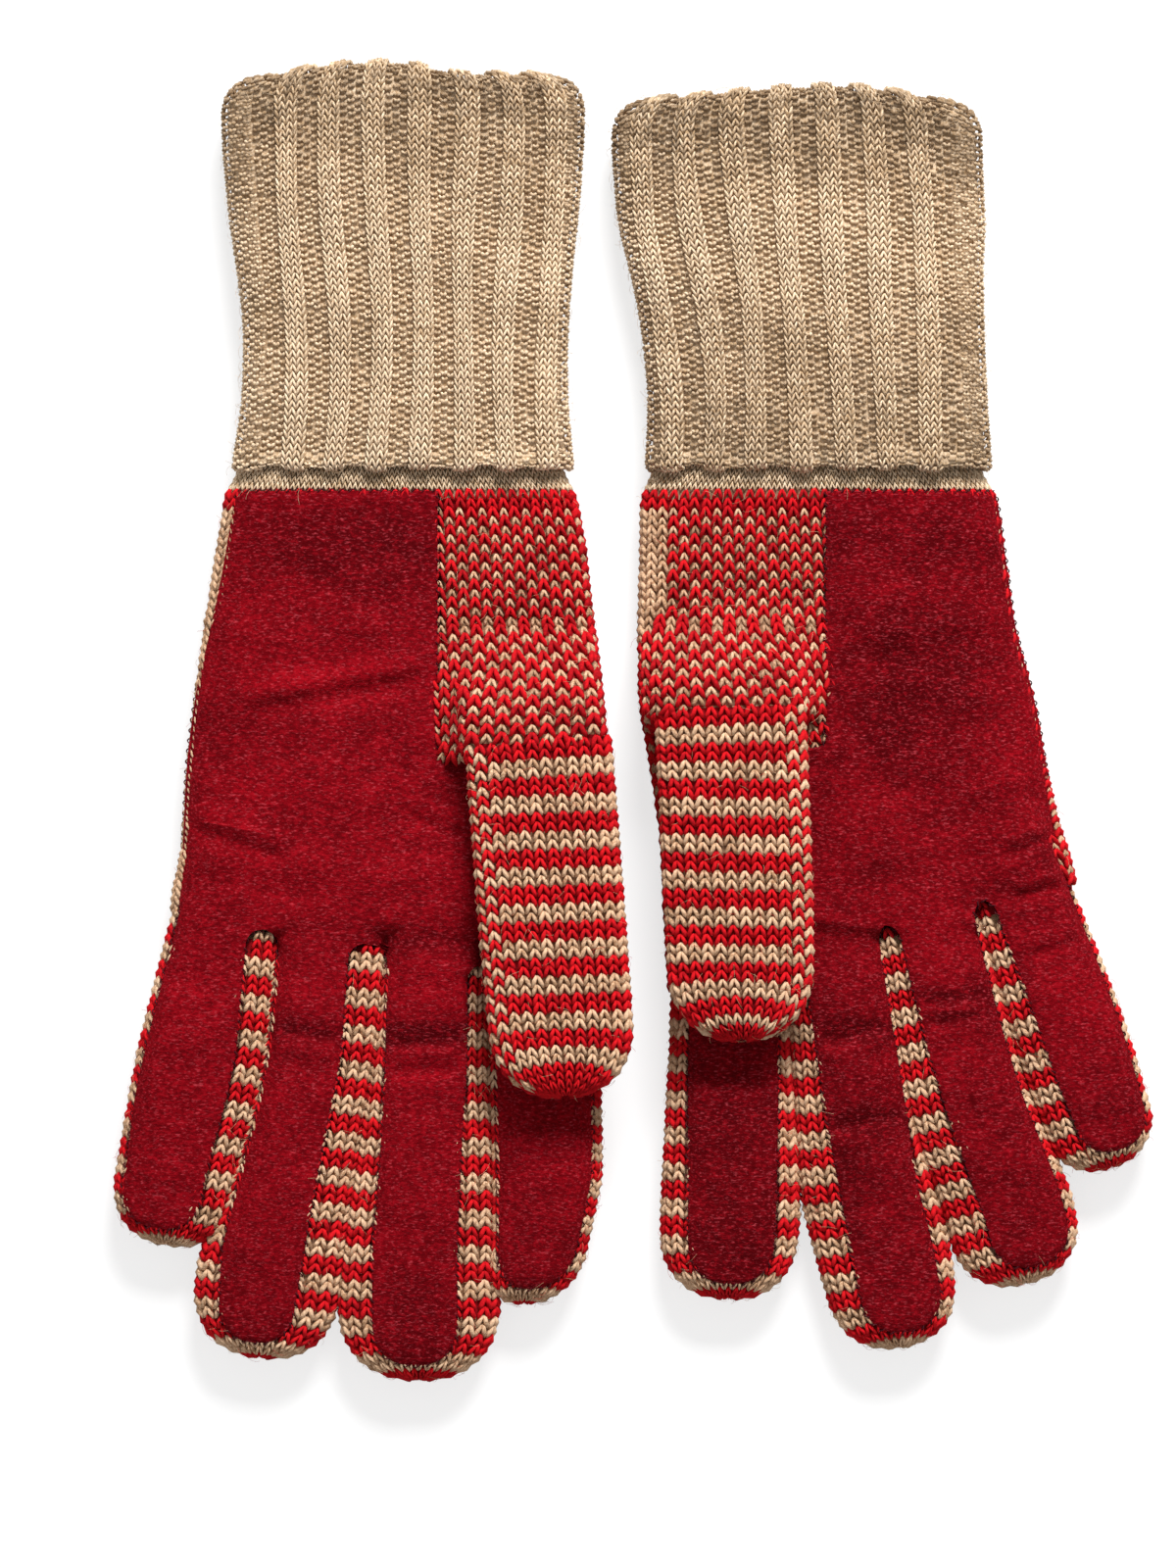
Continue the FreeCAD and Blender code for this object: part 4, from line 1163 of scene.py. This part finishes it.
def suede_height(glove, x, y):
    heights = [top_of(TUBES[glove][name], x, y) for name in ("hand",) + FINGERS]
    stack = np.stack(heights)
    soft = 0.5
    return soft * np.log(np.sum(np.exp((stack - stack.max(axis=0)) / soft), axis=0)) + stack.max(axis=0)


def suede_piece(name, glove, across_cells, down_cells, plan, seed):
    """A sheet from a grid: plan gives the place of each grid point, how far it is from an edge and how
    much it is tucked under."""
    bm = bmesh.new()
    bmesh.ops.create_grid(bm, x_segments=across_cells, y_segments=down_cells, size=0.5)
    co = np.array([v.co for v in bm.verts]) + [0.5, 0.5, 0]
    x, y, edge, tucked = plan(co[:, 0], 1 - co[:, 1])
    z = suede_height(glove, x, y) + SUEDE_LIFT
    z = z + crease(glove, x, y) * ease((edge - 0.6) / 3) + hills(x, y, seed) * ease(edge / 4)
    z -= 0.3 * (1 - ease(edge / 1.2)) + tucked
    for v, p in zip(bm.verts, np.column_stack([x, y, z]) * MM):
        v.co = p
    bmesh.ops.remove_doubles(bm, verts=bm.verts, dist=1e-6)
    bm.normal_update()
    if sum(f.normal.z for f in bm.faces) < 0:
        bmesh.ops.reverse_faces(bm, faces=bm.faces)
    mesh = mesh_from(bm, name)
    ob = add_object(name, mesh, [SUEDE])
    solid = ob.modifiers.new("thickness", "SOLIDIFY")
    solid.thickness = SUEDE_THICK * MM
    solid.offset = -1
    mesh = evaluated(ob)
    ob.modifiers.clear()
    ob.data = mesh
    bm = bmesh.new()
    bm.from_mesh(mesh)
    for e in bm.edges:
        e.smooth = e.calc_face_angle(0.0) < 0.8
    bm.to_mesh(mesh)
    bm.free()
    place = points_of(mesh) / MM
    write_values(mesh, "nap_and_painted_shade", nap_and_painted_shade(glove, place[:, 0], place[:, 1]))
    return ob


def palm_plan(glove):
    g = GLOVES[glove]
    bx, by = palm_bottom(glove)

    def plan(u, v):
        end_across = bx[0] + (bx[-1] - bx[0]) * u
        down = SUEDE_TOP + (np.interp(end_across, bx, by) - SUEDE_TOP) * v
        outer = -(smooth_curve(g["little_edge"], down) - suede_side(glove, down))
        inner = suede_inner(glove, down)
        outer = outer + (bx[0] - outer) * ease((v - 0.9) / 0.1)
        inner = inner + (bx[-1] - inner) * ease((v - 0.9) / 0.1)
        across = outer + (inner - outer) * u
        edge = np.minimum(np.minimum(across - outer, inner - across), down - SUEDE_TOP)
        return g["wrist_x"] + g["side"] * across, WRIST_Y - down, edge, 0.0

    return plan


def finger_plan(glove, digit):
    pivot, along, lateral = hinge(glove, digit)
    s_little, s_thumb = [end[2] for end in ROOTS[glove][digit]]
    end = DIGITS[glove][digit][0] - TIP_MARGIN

    def plan(u, v):
        joined = s_little + (s_thumb - s_little) * u
        start = joined - 3.0
        s = start + (end - 0.02 - start) * (0.5 * v + 0.5 * np.sin(v * math.pi / 2))
        low, high = strip_edges(glove, digit, s, (s_little, s_thumb))
        across = low + (high - low) * u
        x = pivot[0] + along[0] * s + lateral[0] * across
        y = pivot[1] + along[1] * s + lateral[1] * across
        inside = 10 * (1 - ease((s - joined) / 4.0))
        near_little = across - low if digit == "little" else np.maximum(across - low, inside)
        near_thumb = high - across if digit == "index" else np.maximum(high - across, inside)
        edge = np.minimum(np.minimum(near_little, near_thumb), end - s)
        return x, y, edge, 0.05 * (1 - ease((s - joined) / 0.8))

    return plan


def overcast(name, glove, plan, u, v, lift):
    """Thread whipped over the edge of a piece of suede."""
    x, y, _, _ = plan(u, v)
    line = np.column_stack([x, y, suede_height(glove, x, y) + lift])
    run = np.concatenate([[0], np.cumsum(np.linalg.norm(np.diff(line, axis=0), axis=1))])
    even = np.arange(0, run[-1], 0.28)
    line = np.column_stack([np.interp(even, run, line[:, k]) for k in range(3)])
    ahead = np.gradient(line, axis=0)
    ahead /= np.linalg.norm(ahead, axis=1, keepdims=True)
    out = np.cross(ahead, [0, 0, 1])
    out /= np.linalg.norm(out, axis=1, keepdims=True)
    turn = (even * math.tau / 2.5)[:, None]
    coil = line + 0.5 * np.cos(turn) * out + 0.5 * np.sin(turn) * np.array([0, 0, 1])
    return strands(name, [coil], 0.18, [THREAD], [0])


for glove in GLOVES:
    plan = palm_plan(glove)
    palm = suede_piece(f"{glove}_palm_patch", glove, 110, 150, plan, 3)
    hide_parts(f"{glove}_palm_suede")
    go, still = np.linspace(0, 1, 150), np.ones(150)
    sewn = overcast(f"{glove}_palm_thread", glove, plan, np.concatenate([0 * still, go, still]),
                    np.concatenate([1 - go, 0 * still, go]), np.repeat([-0.3, 0.6, 0.6], 150))
    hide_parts(f"{glove}_palm_seam")
    for ob, kind in ((palm, "suede"), (sewn, "thread")):
        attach(ob, f"{glove}_glove")
    for digit in FINGERS:
        plan = finger_plan(glove, digit)
        strip = suede_piece(f"{glove}_{digit}_strip", glove, 30, 170, plan, 3)
        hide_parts(f"{glove}_{digit}_suede")
        go = np.linspace(0.03, 1, 200)
        sewn = overcast(f"{glove}_{digit}_thread", glove, plan, np.repeat([0.0, 1.0], 200),
                        np.concatenate([go, go[::-1]]), 0.6)
        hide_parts(f"{glove}_{digit}_seam")
        for ob, kind in ((strip, "suede"), (sewn, "thread")):
            bend(ob)
    print(glove, "suede cut and sewn")

# %% [markdown]
# ## Light, floor and camera

# %% Stage
scene = bpy.context.scene
scene.view_settings.view_transform = "Standard"


def stage_material():
    m, nodes, links, shader = new_material("white floor")
    shader.inputs["Base Color"].default_value = (0.8, 0.8, 0.8, 1)
    shader.inputs["Roughness"].default_value = 1.0
    shader.inputs["Specular IOR Level"].default_value = 0.0
    seen = nodes.new("ShaderNodeLightPath")
    looked_at = seen.outputs["Is Camera Ray"]
    for ray in ("Is Glossy Ray", "Is Transmission Ray"):
        either = nodes.new("ShaderNodeMath")
        either.operation = "MAXIMUM"
        links.new(looked_at, either.inputs[0])
        links.new(seen.outputs[ray], either.inputs[1])
        looked_at = either.outputs[0]
    glow = nodes.new("ShaderNodeEmission")
    glow.inputs["Strength"].default_value = 0.72
    both = nodes.new("ShaderNodeAddShader")
    pale = nodes.new("ShaderNodeMixShader")
    dim = nodes.new("ShaderNodeBsdfDiffuse")
    dim.inputs["Color"].default_value = (0.36, 0.36, 0.36, 1)
    links.new(glow.outputs[0], both.inputs[0])
    links.new(dim.outputs[0], both.inputs[1])
    links.new(looked_at, pale.inputs[0])
    links.new(shader.outputs[0], pale.inputs[1])
    links.new(both.outputs[0], pale.inputs[2])
    out = next(n for n in nodes if n.type == "OUTPUT_MATERIAL")
    links.new(pale.outputs[0], out.inputs[0])
    return m


bm = bmesh.new()
bmesh.ops.create_grid(bm, x_segments=1, y_segments=1, size=3.0)
mesh = mesh_from(bm, "floor")
floor = bpy.data.objects.new("floor", mesh)
scene.collection.objects.link(floor)
floor.location = (0, 0, -0.001)
mesh.materials.append(stage_material())
floor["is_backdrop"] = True

world = bpy.data.worlds.new("room")
scene.world = world
world.use_nodes = True
back = world.node_tree.nodes["Background"]
back.inputs["Color"].default_value = (1, 1, 1, 1)
back.inputs["Strength"].default_value = 0.42


def lamp(name, place, aim, size, power):
    data = bpy.data.lights.new(name, "AREA")
    data.shape = "RECTANGLE"
    data.size, data.size_y = size
    data.energy = power
    ob = bpy.data.objects.new(name, data)
    scene.collection.objects.link(ob)
    ob.location = place
    direction = Vector(aim) - Vector(place)
    ob.rotation_mode = "QUATERNION"
    ob.rotation_quaternion = direction.to_track_quat("-Z", "Y")


lamp("window", (0.25, 1.25, 1.0), (0, 0, 0), (0.6, 0.4), 38.0)

cam = bpy.data.cameras.new("camera")
eye = bpy.data.objects.new("camera", cam)
scene.collection.objects.link(eye)
scene.camera = eye
CAMERA_HEIGHT = 1.30    # metres above the middle of the gloves' thickness
LONG_SIDE = 0.376       # of the picture, in metres at that distance
SENSOR = 36.0
cam.sensor_width = SENSOR
cam.lens = SENSOR * CAMERA_HEIGHT / LONG_SIDE
eye.location = (-0.0111, -0.0154, CAMERA_HEIGHT + 0.012)
eye.rotation_euler = (0, 0, 0)
cam.clip_end = 20.0

# %% Finish
low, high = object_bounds()
